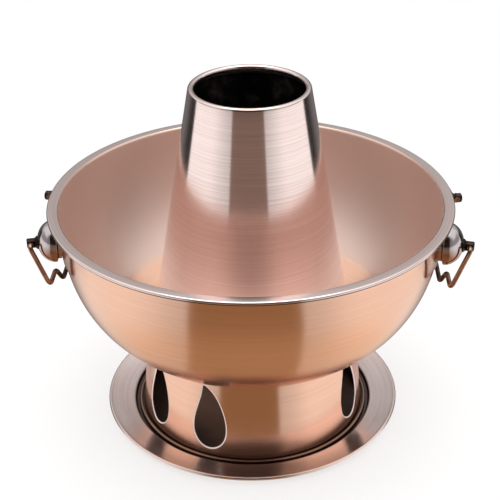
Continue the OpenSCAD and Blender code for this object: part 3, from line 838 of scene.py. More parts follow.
def teardrop(pedestal, grow=0.0):
    """Outline of one vent as (sideways, up) from its lowest point, grown outwards if asked."""

    def opened(a):
        return math.sin(a) * (1 - pedestal.vent_taper * (1 - math.cos(a)) / 2)

    steps = 44
    widest = max(opened(math.radians(a)) for a in range(180))
    left, right = [], []
    for i in range(steps + 1):
        a = math.pi * i / steps
        t = (1 - math.cos(a)) / 2
        middle = -pedestal.vent_lean * t**pedestal.vent_hook
        half = pedestal.vent_w / 2 * opened(a) / widest
        right.append((middle + half, pedestal.vent_h * t))
        left.append((middle - half, pedestal.vent_h * t))
    outline = right + left[-2:0:-1]
    grown = []
    for i, here in enumerate(outline):
        before, after = outline[i - 1], outline[(i + 1) % len(outline)]
        run = Vector((after[0] - before[0], after[1] - before[1])).normalized()
        grown.append((here[0] + run.y * grow, here[1] - run.x * grow))
    return grown


def contains(outline, point):
    """Whether a flat outline holds a point."""
    held = False
    for i, (x1, y1) in enumerate(outline):
        x0, y0 = outline[i - 1]
        if (y0 > point[1]) != (y1 > point[1]):
            if point[0] < (x1 - x0) * (point[1] - y0) / (y1 - y0) + x0:
                held = not held
    return held


# ---------------------------------------------------------------- the pedestal's wall

SEAM = 21.2  # degrees from the front, clear of every vent, where the wall is unrolled
COLUMNS = 288  # round the wall
FLARE_ROWS, WALL_ROWS = 14, 18  # up the flare, and from there to the top


def from_front(azimuth, radius, height):
    """A point by its angle from the front, in degrees."""
    a = math.radians(azimuth - 90)
    return (radius * math.cos(a), radius * math.sin(a), height)


def angle_of(across, radius):
    """The angle in degrees that a sideways distance takes up on a round wall."""
    return math.degrees(math.asin(across / radius))


def wall_ends(bowl):
    """Lowest and highest height of the vented wall."""
    return 2 * bowl.sheet, bowl.floor_z - 1.5 * bowl.sheet


def vent_middles(pedestal):
    """Angles of the vents' middles from the front, counted from the seam on."""
    middles = []
    for pair in range(pedestal.vent_pairs):
        middle = math.degrees(pedestal.vent_turn) + pair * 360 / pedestal.vent_pairs
        for half in (-0.5, 0.5):
            at = middle + half * math.degrees(pedestal.vent_gap)
            middles.append((at - SEAM) % 360 + SEAM)
    return middles


def flat_vent(bowl, pedestal, middle, outline):
    """A vent's outline on the unrolled wall."""
    loop = []
    for across, up in outline:
        z = bowl.sheet + pedestal.vent_z + up
        at = middle + angle_of(across, pedestal_radius(pedestal, bowl, z))
        loop.append((at * math.radians(pedestal.low_r), z))
    return loop


def unroll_wall(bowl, pedestal, loops):
    """The unrolled wall: its points, its triangles, and which points lie where on which vent."""
    low, high = wall_ends(bowl)
    size = len(loops[0])
    points = [point for loop in loops for point in loop]
    edges = []
    for start in range(0, len(points), size):
        edges += [(start + (i - 1) % size, start + i) for i in range(size)]
    outlined = len(points)
    bend_z = low + pedestal.flare_h
    rows = [low + pedestal.flare_h * i / FLARE_ROWS for i in range(FLARE_ROWS)]
    rows += [bend_z + (high - bend_z) * i / WALL_ROWS for i in range(WALL_ROWS + 1)]
    clear = 1.0 * MM
    beside = ((clear, 0), (-clear, 0), (0, clear), (0, -clear))
    for j in range(COLUMNS + 1):
        u = (SEAM + 360 * j / COLUMNS) * math.radians(pedestal.low_r)
        for i, z in enumerate(rows):
            border = i in (0, len(rows) - 1) or j in (0, COLUMNS)
            near = any(contains(loop, (u + du, z + dz)) for loop in loops for du, dz in beside)
            if border or not near:
                points.append((u, z))
    found = delaunay_2d_cdt([Vector(p) / MM for p in points], edges, [], 0, 1e-4)
    flat = [(p.x * MM, p.y * MM) for p in found[0]]
    on_vent = {}
    for made, sources in enumerate(found[3]):
        for source in sources:
            if source < outlined:
                on_vent[made] = divmod(source, size)
    triangles = []
    for corners in found[2]:
        middle = [sum(flat[k][axis] for k in corners) / 3 for axis in (0, 1)]
        if not any(contains(loop, middle) for loop in loops):
            triangles.append(corners)
    return flat, triangles, on_vent


def bridge(mesh, one, two):
    """Joins two rings of points with a band of faces."""
    for j in range(len(one)):
        mesh.faces.new((one[j - 1], one[j], two[j], two[j - 1])).smooth = True


# ---------------------------------------------------------------- operators


class HOTPOT_OT_bowl(Operator):
    """Make the bowl with its flat rim and rolled edge"""

    bl_idname = "hotpot.bowl"
    bl_label = "Bowl"

    def execute(self, context):
        bowl = context.scene.hot_pot_bowl
        sheet, rim_z = bowl.sheet, rim_height(bowl)
        rim_r = bowl.wall_r + bowl.rim_w
        steps = 72
        outside = []
        for i in range(steps, -1, -1):
            depth = sheet + (bowl.depth - sheet) * (1 - (1 - i / steps) ** 1.5)
            outside.append((wall_radius(bowl, depth), rim_z - depth))
        inside = [(r - sheet, z + sheet) for r, z in outside if z < rim_z - 2 * sheet - bowl.bend_r]
        under = math.degrees(math.asin((bowl.bead_r - sheet) / bowl.bead_r))
        bead = arc(rim_r - bowl.bead_r, rim_z - bowl.bead_r, bowl.bead_r, 180 - under, 450, 22)
        bend = arc(bowl.wall_r - sheet + bowl.bend_r, rim_z - bowl.bend_r, bowl.bend_r, 90, 180, 8)
        profile = [(bowl.hole_r, bowl.floor_z), *outside, *bead, *bend, *reversed(inside)]
        profile.append((bowl.hole_r, bowl.floor_z + sheet))
        piece = add_piece("Bowl", revolve(profile), "copper_brushed")
        settle(piece, "pot", "copper_brushed", "bowl")
        return {"FINISHED"}


class HOTPOT_OT_chimney(Operator):
    """Make the conical chimney with its rolled lip"""

    bl_idname = "hotpot.chimney"
    bl_label = "Chimney"

    def execute(self, context):
        bowl, chimney = context.scene.hot_pot_bowl, context.scene.hot_pot_chimney
        sheet = bowl.sheet
        foot_z, mouth_z, slope = chimney_ends(bowl, chimney)
        tilt = math.atan(slope)

        def wall(z):
            return chimney.base_r - (z - foot_z) * slope

        lip_z = mouth_z - chimney.lip_r
        lip_mid = wall(lip_z) - chimney.lip_r / math.cos(tilt)
        gap = math.degrees(math.acos((chimney.lip_r - sheet) / chimney.lip_r))
        tilt_deg = math.degrees(tilt)
        lip = arc(lip_mid, lip_z, chimney.lip_r, tilt_deg, tilt_deg + 360 - gap, 34)
        steps = 24
        rise = [foot_z + sheet + (lip_z - foot_z - sheet) * i / steps for i in range(steps)]
        inner = sheet / math.cos(tilt)
        flange_r = chimney.base_r + chimney.flange_w
        profile = [(chimney.base_r - inner, foot_z), (flange_r, foot_z), (flange_r, foot_z + sheet)]
        profile += [(wall(z), z) for z in rise]
        profile += lip
        profile += [(wall(z) - inner, z) for z in reversed(rise[1:])]
        piece = add_piece("Chimney", revolve(profile, 224), "copper_rose")
        settle(piece, "pot", "copper_brushed", "chimney")
        return {"FINISHED"}


class HOTPOT_OT_tray(Operator):
    """Make the tray with its well and dished brim"""

    bl_idname = "hotpot.tray"
    bl_label = "Tray"

    def execute(self, context):
        bowl, pedestal = context.scene.hot_pot_bowl, context.scene.hot_pot_pedestal
        tray = context.scene.hot_pot_tray
        sheet = bowl.sheet
        well_r = well_radius(pedestal, tray)
        tray_r = well_r + tray.brim_w
        brim_r = well_r + tray.bend_r
        bead_x, bead_z = tray_r - tray.bead_r, tray.edge_h - tray.bead_r
        joint = math.radians(150)
        end_x = bead_x + tray.bead_r * math.cos(joint)
        end_z = bead_z + tray.bead_r * math.sin(joint)
        steps = 24
        dish = []
        for i in range(1, steps + 1):
            s = i / steps
            dish.append((brim_r + (end_x - brim_r) * s, tray.well_h + (end_z - tray.well_h) * s**1.5))
        upper = tray.well_h - tray.bend_r
        top = [(0.0, sheet), (well_r - tray.bend_r - 8 * MM, sheet)]
        top += arc(well_r - tray.bend_r, sheet + tray.bend_r, tray.bend_r, -90, 0)
        top += arc(brim_r, upper, tray.bend_r, 180, 90)
        top += dish
        bead = arc(bead_x, bead_z, tray.bead_r, 130, -140, 24)
        below = [(r, z - sheet) for r, z in reversed(dish[:-3])]
        below += arc(brim_r, upper, tray.bend_r - sheet, 90, 180)
        below += arc(well_r - tray.bend_r, sheet + tray.bend_r, tray.bend_r + sheet, 0, -90)
        below.append((0.0, 0.0))
        profile = list(reversed(top + bead + below))
        piece = add_piece("Tray", revolve(profile), "copper_polished")
        settle(piece, "tray", "copper_polished", "tray")
        return {"FINISHED"}


class HOTPOT_OT_pedestal(Operator):
    """Make the flared pedestal and cut its teardrop vents"""

    bl_idname = "hotpot.pedestal"
    bl_label = "Pedestal"

    def execute(self, context):
        bowl, pedestal = context.scene.hot_pot_bowl, context.scene.hot_pot_pedestal
        mesh = bmesh.new()
        mesh.verts.layers.float.new("wear_and_glint")
        self.add_wall(mesh, bowl, pedestal)
        self.add_foot_and_top(mesh, bowl, pedestal)
        bmesh.ops.remove_doubles(mesh, verts=mesh.verts, dist=1e-6)
        for edge in mesh.edges:
            edge.smooth = edge.calc_face_angle(0) < math.radians(30)
        piece = add_piece("Pedestal", mesh, "copper_brushed")
        settle(piece, "pot", "copper_brushed", "pedestal")
        return {"FINISHED"}

    def add_wall(self, mesh, bowl, pedestal):
        """The wall with its vents cut out, each with a rounded edge."""
        middles = vent_middles(pedestal)
        wide = teardrop(pedestal, pedestal.vent_edge)
        loops = [flat_vent(bowl, pedestal, middle, wide) for middle in middles]
        flat, triangles, on_vent = unroll_wall(bowl, pedestal, loops)
        outer, inner = [], []
        for i, (u, z) in enumerate(flat):
            radius = pedestal_radius(pedestal, bowl, z)
            azimuth = u / math.radians(pedestal.low_r)
            outer.append(mesh.verts.new(from_front(azimuth, radius, z)))
            radius -= bowl.sheet
            if i in on_vent:
                vent, step = on_vent[i]
                azimuth = middles[vent] + angle_of(wide[step][0], radius)
            inner.append(mesh.verts.new(from_front(azimuth, radius, z)))
        for a, b, c in triangles:
            mesh.faces.new((outer[a], outer[b], outer[c])).smooth = True
            mesh.faces.new((inner[c], inner[b], inner[a])).smooth = True
        made_of = {place: made for made, place in on_vent.items()}
        for vent, middle in enumerate(middles):
            rim = [made_of[(vent, step)] for step in range(len(wide))]
            bands = [[outer[made] for made in rim]]
            bands += self.add_vent_edge(mesh, bowl, pedestal, middle)
            bands.append([inner[made] for made in rim])
            for one, two in zip(bands, bands[1:]):
                bridge(mesh, two, one)

    def add_vent_edge(self, mesh, bowl, pedestal, middle):
        """Rings of points that round the sheet over into a vent, marked for the pale painted highlight
        on its edge.
        """
        wear_and_glint = mesh.verts.layers.float["wear_and_glint"]
        bands = []
        for turned in (25, 50, 75, 90):
            a = math.radians(turned)
            down = 0.7 * bowl.sheet * (1 - math.cos(a))
            band = []
            for across, up in teardrop(pedestal, pedestal.vent_edge * (1 - math.sin(a))):
                z = bowl.sheet + pedestal.vent_z + up
                radius = pedestal_radius(pedestal, bowl, z) - down
                vertex = mesh.verts.new(from_front(middle + angle_of(across, radius), radius, z))
                # Marks the point for the painted highlight on the vent's edge.
                vertex[wear_and_glint] = 1.0
                band.append(vertex)
            bands.append(band)
        return bands

    def add_foot_and_top(self, mesh, bowl, pedestal):
        """The beaded foot below the wall, and the seat for the bowl above it."""
        sheet, foot_z = bowl.sheet, bowl.sheet
        low, high = wall_ends(bowl)
        flat_r = pedestal.low_r + pedestal.flare_w
        bead_x = flat_r + pedestal.foot_w + pedestal.bead_r
        end = 180 + math.degrees(math.asin((pedestal.bead_r - sheet) / pedestal.bead_r))
        wall_low = pedestal_radius(pedestal, bowl, low)
        wall_high = pedestal_radius(pedestal, bowl, high)
        under_z = bowl.floor_z - sheet
        foot = [(wall_low - sheet, low), (flat_r - sheet, foot_z)]
        foot += arc(bead_x, foot_z + pedestal.bead_r, pedestal.bead_r, -90, end, 22)
        foot.append((wall_low, low))
        top = [(wall_high, high), (pedestal.top_r, bowl.floor_z), (bowl.hole_r, bowl.floor_z)]
        top += [(bowl.hole_r, under_z), (pedestal_radius(pedestal, bowl, under_z) - sheet, under_z)]
        top.append((wall_high - sheet, high))
        turns = [SEAM + 360 * j / COLUMNS for j in range(COLUMNS)]
        for chain in (foot, top):
            rings = [[mesh.verts.new(from_front(a, r, z)) for a in turns] for r, z in chain]
            for one, two in zip(rings, rings[1:]):
                bridge(mesh, one, two)


PLATE_BORDER = (0.0, 0.25 * MM, 0.6 * MM, 2.6 * MM)  # lines that follow a plate's edge
BORDER_TINTS = (1.0, 0.8, 0.0, 0.0)  # how tarnished each of them is
EDGE_DROP = 0.3 * MM  # how far the outermost line is rounded down


def bordered(low, high, steps):
    """Places from low to high, close together along both ends and evenly spread between."""
    start = [low + d for d in PLATE_BORDER]
    end = [high - d for d in reversed(PLATE_BORDER)]
    between = [start[-1] + (end[0] - start[-1]) * i / steps for i in range(1, steps)]
    return start + between + end


def plate_grid(bowl, handles):
    """Columns of points (sideways, height) that fill a handle plate's outline."""
    top = rim_height(bowl) - bowl.sheet - handles.plate_gap
    half, sag = handles.plate_half_w, handles.plate_sag
    sweep = (half**2 + sag**2) / (2 * sag)
    closing = handles.plate_taper / (handles.plate_h * half)
    grid = []
    for wide_y in bordered(-half, half, 44):
        y = wide_y
        for _ in range(4):
            bottom = top + sweep - handles.plate_h - math.sqrt(sweep**2 - y**2)
            y = wide_y * (1 - closing * (top - bottom))
        grid.append([(wide_y * (1 - closing * (top - z)), z) for z in bordered(bottom, top, 12)])
    return grid


class HOTPOT_OT_plates(Operator):
    """Make the two curved handle plates under the rim"""

    bl_idname = "hotpot.plates"
    bl_label = "Handle plates"

    def execute(self, context):
        bowl, handles = context.scene.hot_pot_bowl, context.scene.hot_pot_handles
        grid = plate_grid(bowl, handles)
        mesh = bmesh.new()
        mesh.verts.layers.float.new("patina_and_shade")
        for side in (1, -1):
            front = self.add_layer(mesh, bowl, grid, side, handles.plate_t)
            back = self.add_layer(mesh, bowl, grid, side, 0.0)
            self.add_faces(mesh, front, back)
        bmesh.ops.recalc_face_normals(mesh, faces=mesh.faces)
        for edge in mesh.edges:
            edge.smooth = edge.calc_face_angle(0) < math.radians(50)
        piece = add_piece("Handle_plates", mesh, "copper_edged")
        settle(piece, "pot", "copper_antique", "right_plate", "left_plate")
        return {"FINISHED"}

    def add_layer(self, mesh, bowl, grid, side, lift):
        """The points of a plate's front or back, lifted off the bowl's wall."""
        tint = mesh.verts.layers.float["patina_and_shade"]
        layer = []
        for j, column in enumerate(grid):
            line = []
            for i, (y, z) in enumerate(column):
                edge = min(i, len(column) - 1 - i, j, len(grid) - 1 - j)
                rise = lift - (EDGE_DROP if edge == 0 and lift else 0)
                radius = wall_radius(bowl, rim_height(bowl) - z) + rise
                vertex = mesh.verts.new((side * math.sqrt(radius**2 - y**2), y, z))
                vertex[tint] = BORDER_TINTS[min(edge, 3)] if lift else 1.0
                line.append(vertex)
            layer.append(line)
        return layer

    def add_faces(self, mesh, front, back):
        """The faces of a plate's front and back, and of the edge between them."""
        wide, tall = len(front), len(front[0])
        for j in range(wide - 1):
            for i in range(tall - 1):
                corners = ((j, i), (j + 1, i), (j + 1, i + 1), (j, i + 1))
                mesh.faces.new([front[m][n] for m, n in corners]).smooth = True
                corners = ((j, i), (j, i + 1), (j + 1, i + 1), (j + 1, i))
                mesh.faces.new([back[m][n] for m, n in corners]).smooth = True
        ring = [(j, 0) for j in range(wide)] + [(wide - 1, i) for i in range(1, tall)]
        ring += [(j, tall - 1) for j in range(wide - 2, -1, -1)]
        ring += [(0, i) for i in range(tall - 2, 0, -1)]
        bridge(mesh, [front[j][i] for j, i in ring], [back[j][i] for j, i in ring])


LUGS = ("right_front", "right_rear", "left_front", "left_rear")


def lug_values(bowl, handles):
    """Where the lugs stand, for the geometry trees that repeat a piece at them."""
    height = lug_height(bowl, handles)
    return {"Lug Angle": handles.lug_turn, "Lug Height": height, "Lugs": len(LUGS)}


def lug_tree(name, values):
    """A geometry tree that repeats a piece on the X axis at the lugs, and drills its eyes if any."""
    group, tree, given = new_geometry_tree(name, values)
    index = tree.node("GeometryNodeInputIndex")
    side = (index / 2.0).math("FLOOR")
    end = index.math("MODULO", 2.0) * 2.0 - 1.0
    angle = side * math.pi + end * given["Lug Angle"]
    height = tree.node("ShaderNodeCombineXYZ", inputs={2: given["Lug Height"]})
    points = tree.node("GeometryNodePoints", inputs={"Count": given["Lugs"], "Position": height})
    rotation = tree.node("ShaderNodeCombineXYZ", inputs={2: angle})
    inputs = {"Points": points, "Instance": given["Geometry"], "Rotation": rotation}
    lugs = tree.node("GeometryNodeInstanceOnPoints", inputs=inputs)
    if "Eye Radius" in given:
        inputs = {"Vertices": 48, "Radius": given["Eye Radius"], "Depth": given["Eye Length"]}
        rod = tree.node("GeometryNodeMeshCylinder", inputs=inputs)
        for sign in (1.0, -1.0):
            inputs = {0: given["Eye Place"] * sign, 2: given["Lug Height"]}
            place = tree.node("ShaderNodeCombineXYZ", inputs=inputs)
            inputs = {"Geometry": rod, "Translation": place, "Rotation": (math.pi / 2, 0, 0)}
            drill = tree.node("GeometryNodeTransform", inputs=inputs)
            lugs = tree.node("GeometryNodeRealizeInstances", inputs={"Geometry": lugs})
            settings = {"operation": "DIFFERENCE", "solver": "EXACT"}
            lugs = tree.node("GeometryNodeMeshBoolean", settings, {"Mesh 1": lugs, "Mesh 2": drill})
    finish_geometry_tree(tree, lugs, given["Material"])
    return group


def lay_on_x(mesh):
    """Turns a revolved mesh from the Z axis to the X axis."""
    bmesh.ops.transform(mesh, matrix=Matrix.Rotation(math.pi / 2, 4, "Y"), verts=mesh.verts)


class HOTPOT_OT_balls(Operator):
    """Make the four hollow balls of the lugs"""

    bl_idname = "hotpot.balls"
    bl_label = "Balls"

    def execute(self, context):
        bowl, handles = context.scene.hot_pot_bowl, context.scene.hot_pot_handles
        lug = lug_places(bowl, handles)
        opening, wall = handles.ball_open, handles.ball_t
        hole = handles.stud_r + handles.stud_clear
        steps = 40
        inner_r, inner_nose = handles.ball_r - wall, handles.ball_nose - wall
        inner_flat = math.asin((handles.ball_r * math.sin(lug.flat) - wall / 2) / inner_r)

        def shell(radius, nose, start):
            points = []
            for i in range(steps + 1):
                a = start + (math.pi - opening - start) * i / steps
                reach = nose if a < math.pi / 2 else handles.ball_back
                points.append((radius * math.sin(a), lug.middle + reach * math.cos(a)))
            return points

        def tarnish_and_shade(r, x):
            """Dark along the open back edge, partly painted shade next to the washer, and round the
            cap's seat.
            """
            back = max(0.0, 1 - (x - lug.back) / (2.2 * MM))
            seat = max(0.0, 1 - (r - handles.cap_foot_r) / (1.6 * MM)) if x > lug.middle else 0.0
            return min(1.0, max(back, seat))

        outside = shell(handles.ball_r, handles.ball_nose, lug.flat)
        inside = shell(inner_r, inner_nose, inner_flat)
        profile = [*reversed(outside), (hole, lug.cap), (hole, inside[0][1]), *inside]
        mesh = revolve(profile, 96, [tarnish_and_shade(r, x) for r, x in profile])
        lay_on_x(mesh)
        piece = add_piece("Balls", mesh, "copper_antique")
        values = lug_values(bowl, handles)
        apply_tree(piece, lug_tree("Lugs", values), "copper_antique", values)
        settle(piece, "pot", "copper_antique", *(f"{lug_name}_ball" for lug_name in LUGS))
        return {"FINISHED"}


class HOTPOT_OT_caps(Operator):
    """Make the four end caps with their eyes"""

    bl_idname = "hotpot.caps"
    bl_label = "End caps"

    def execute(self, context):
        bowl, handles = context.scene.hot_pot_bowl, context.scene.hot_pot_handles
        cap = lug_places(bowl, handles).cap
        foot_r, thin_r, tip_r = handles.cap_foot_r, handles.cap_r, handles.cap_round
        tip = cap + handles.cap_len
        top = cap + handles.cap_foot_h
        neck = top + foot_r - thin_r
        soft = 0.3 * MM
        profile = [(0.0, cap), (foot_r - soft, cap)]
        profile += arc(foot_r - soft, cap + soft, soft, -90, 0, 4)[1:]
        profile += arc(foot_r - soft, top - soft, soft, 0, 60, 4)
        profile += [(thin_r + 0.35 * MM, neck - 0.5 * MM), (thin_r, neck)]
        profile += [(thin_r, neck + (tip - tip_r - neck) * i / 4) for i in (1, 2, 3)]
        profile += arc(thin_r - tip_r, tip - tip_r, tip_r, 0, 90, 8)
        profile.append((0.0, tip))
        tints = [0.8 + 0.2 * max(0.0, 1 - abs(x - neck) / (1.2 * MM)) for _, x in profile]
        mesh = revolve(profile, 64, tints)
        lay_on_x(mesh)
        piece = add_piece("End_caps", mesh, "copper_antique")
        hinge_x, eye_y = hinge_place(bowl, handles)
        values = {
            **lug_values(bowl, handles),
            "Eye Radius": handles.wire_r + handles.eye_clear,
            "Eye Place": hinge_x,
            "Eye Length": 2 * (eye_y + 3 * thin_r),
        }
        apply_tree(piece, lug_tree("Lugs with eyes", values), "copper_antique", values)
        shade_smooth(piece, 35)
        settle(piece, "pot", "copper_antique", *(f"{lug}_cap" for lug in LUGS))
        return {"FINISHED"}


class HOTPOT_OT_hidden_parts(Operator):
    """Dress the washers, the studs and the grate's tabs"""

    bl_idname = "hotpot.hidden_parts"
    bl_label = "Washers, studs and tabs"

    def execute(self, context):
        for lug in LUGS:
            dress(f"{lug}_washer", "copper_antique")
            dress(f"{lug}_stud", "copper_antique")
        dress("grate_tabs", "steel_grate")
        return {"FINISHED"}


def bail_tree(values):
    """A geometry tree that rounds a bent line's corners and draws it out as wire."""
    group, tree, given = new_geometry_tree("Bent wire", values)
    line = tree.node("GeometryNodeMeshToCurve", inputs={"Mesh": given["Geometry"]})
    bend = tree.node("GeometryNodeInputNamedAttribute", {"data_type": "FLOAT"}, {"Name": "bend"})
    inputs = {"Curve": line, "Count": given["Bend Steps"], "Radius": bend}
    rounded = tree.node("GeometryNodeFilletCurve", {"mode": "POLY"}, inputs)
    inputs = {"Resolution": given["Sides"], "Radius": given["Wire Radius"]}
    section = tree.node("GeometryNodeCurvePrimitiveCircle", inputs=inputs)
    inputs = {"Curve": rounded, "Profile Curve": section, "Fill Caps": True}
    wire = tree.node("GeometryNodeCurveToMesh", inputs=inputs)
    finish_geometry_tree(tree, wire, given["Material"])
    return group


class HOTPOT_OT_bails(Operator):
    """Bend the two wire bails and hang them in the eyes"""

    bl_idname = "hotpot.bails"
    bl_label = "Bails"

    def execute(self, context):
        bowl, handles = context.scene.hot_pot_bowl, context.scene.hot_pot_handles
        hinge_x, eye_y = hinge_place(bowl, handles)
        hinge_z = lug_height(bowl, handles)
        side_of_cap = handles.cap_r / math.cos(handles.lug_turn)
        arm_y = eye_y + side_of_cap + handles.arm_gap + handles.eye_bend_r
        lobe_y = handles.lobe_half_w - handles.lobe_close
        shoulder, bottom = handles.arm_len, handles.arm_len + handles.lobe_drop
        half = [(eye_y - handles.wire_end, 0.0, 0.0), (arm_y, 0.0, handles.eye_bend_r)]
        half += [(arm_y, shoulder, handles.bend_r), (handles.lobe_half_w, shoulder, handles.bend_r)]
        half.append((lobe_y, bottom, handles.bend_r))
        way = [(-y, d, bend) for y, d, bend in half] + list(reversed(half))
        values = {"Wire Radius": handles.wire_r, "Bend Steps": 10, "Sides": 28}
        tree = bail_tree(values)
        lean_x, lean_z = math.sin(handles.lean), math.cos(handles.lean)
        for side, sign in (("right", 1), ("left", -1)):
            mesh = bmesh.new()
            bend_of = mesh.verts.layers.float.new("bend")
            line = []
            for y, drop, bend in way:
                x = sign * (hinge_x - drop * lean_x)
                vertex = mesh.verts.new((x, y, hinge_z - drop * lean_z))
                vertex[bend_of] = bend
                line.append(vertex)
            for one, two in zip(line, line[1:]):
                mesh.edges.new((one, two))
            piece = add_piece(f"{side.capitalize()}_bail", mesh, "copper_wire")
            apply_tree(piece, tree, "copper_wire", values)
            shade_smooth(piece, 40)
            settle(piece, f"{side}_bail", "copper_wire", f"{side}_bail")
        return {"FINISHED"}


def grate_tree(rings, values):
    """A geometry tree that fills a disc round rings of holes and gives it a thickness."""
    group, tree, given = new_geometry_tree("Pierced disc", values)

    def circle(radius, steps):
        inputs = {"Resolution": steps, "Radius": radius}
        return tree.node("GeometryNodeCurvePrimitiveCircle", inputs=inputs)

    def join(parts):
        joined = tree.node("GeometryNodeJoinGeometry")
        for part in parts:
            tree.nodes.links.new(part.output, joined.output.node.inputs[0])
        return joined

    hole = circle(given["Hole Radius"], 28)
    parts = [circle(given["Radius"], 180), hole]
    for ring in range(1, rings + 1):
        inputs = {"Vertices": 6 * ring, "Radius": given["Pitch"] * float(ring)}
        points = tree.node("GeometryNodeMeshCircle", inputs=inputs)
        inputs = {"Points": points, "Instance": hole}
        parts.append(tree.node("GeometryNodeInstanceOnPoints", inputs=inputs))
    real = tree.node("GeometryNodeRealizeInstances", inputs={"Geometry": join(parts)})
    disc = tree.node("GeometryNodeFillCurve", {"mode": "NGONS"}, {"Curve": real})
    up = tree.node("ShaderNodeCombineXYZ", inputs={2: 1.0})
    inputs = {"Mesh": disc, "Offset": up, "Offset Scale": given["Thickness"], "Individual": False}
    raised = tree.node("GeometryNodeExtrudeMesh", {"mode": "FACES"}, inputs)
    under = tree.node("GeometryNodeFlipFaces", inputs={"Mesh": disc})
    inputs = {"Geometry": join((raised, under)), "Distance": 1e-6}
    whole = tree.node("GeometryNodeMergeByDistance", inputs=inputs)
    place = tree.node("ShaderNodeCombineXYZ", inputs={2: given["Height"]})
    inputs = {"Geometry": whole, "Translation": place}
    placed = tree.node("GeometryNodeTransform", inputs=inputs)
    finish_geometry_tree(tree, placed, given["Material"])
    return group


class HOTPOT_OT_grate(Operator):
    """Make the pierced charcoal grate"""

    bl_idname = "hotpot.grate"
    bl_label = "Grate"

    def execute(self, context):
        bowl, grate = context.scene.hot_pot_bowl, context.scene.hot_pot_grate
        piece = add_piece("Grate", bpy.data.meshes.new("Grate"), "steel_grate")
        values = {
            "Radius": grate.radius,
            "Hole Radius": grate.hole_r,
            "Pitch": grate.pitch,
            "Thickness": grate.thick,
            "Height": bowl.floor_z - grate.drop,
        }
        apply_tree(piece, grate_tree(grate.rings, values), "steel_grate", values)
        shade_smooth(piece, 40)
        settle(piece, "grate", "steel_grate", "grate")
        return {"FINISHED"}


WHITE = (1.0, 1.0, 1.0)


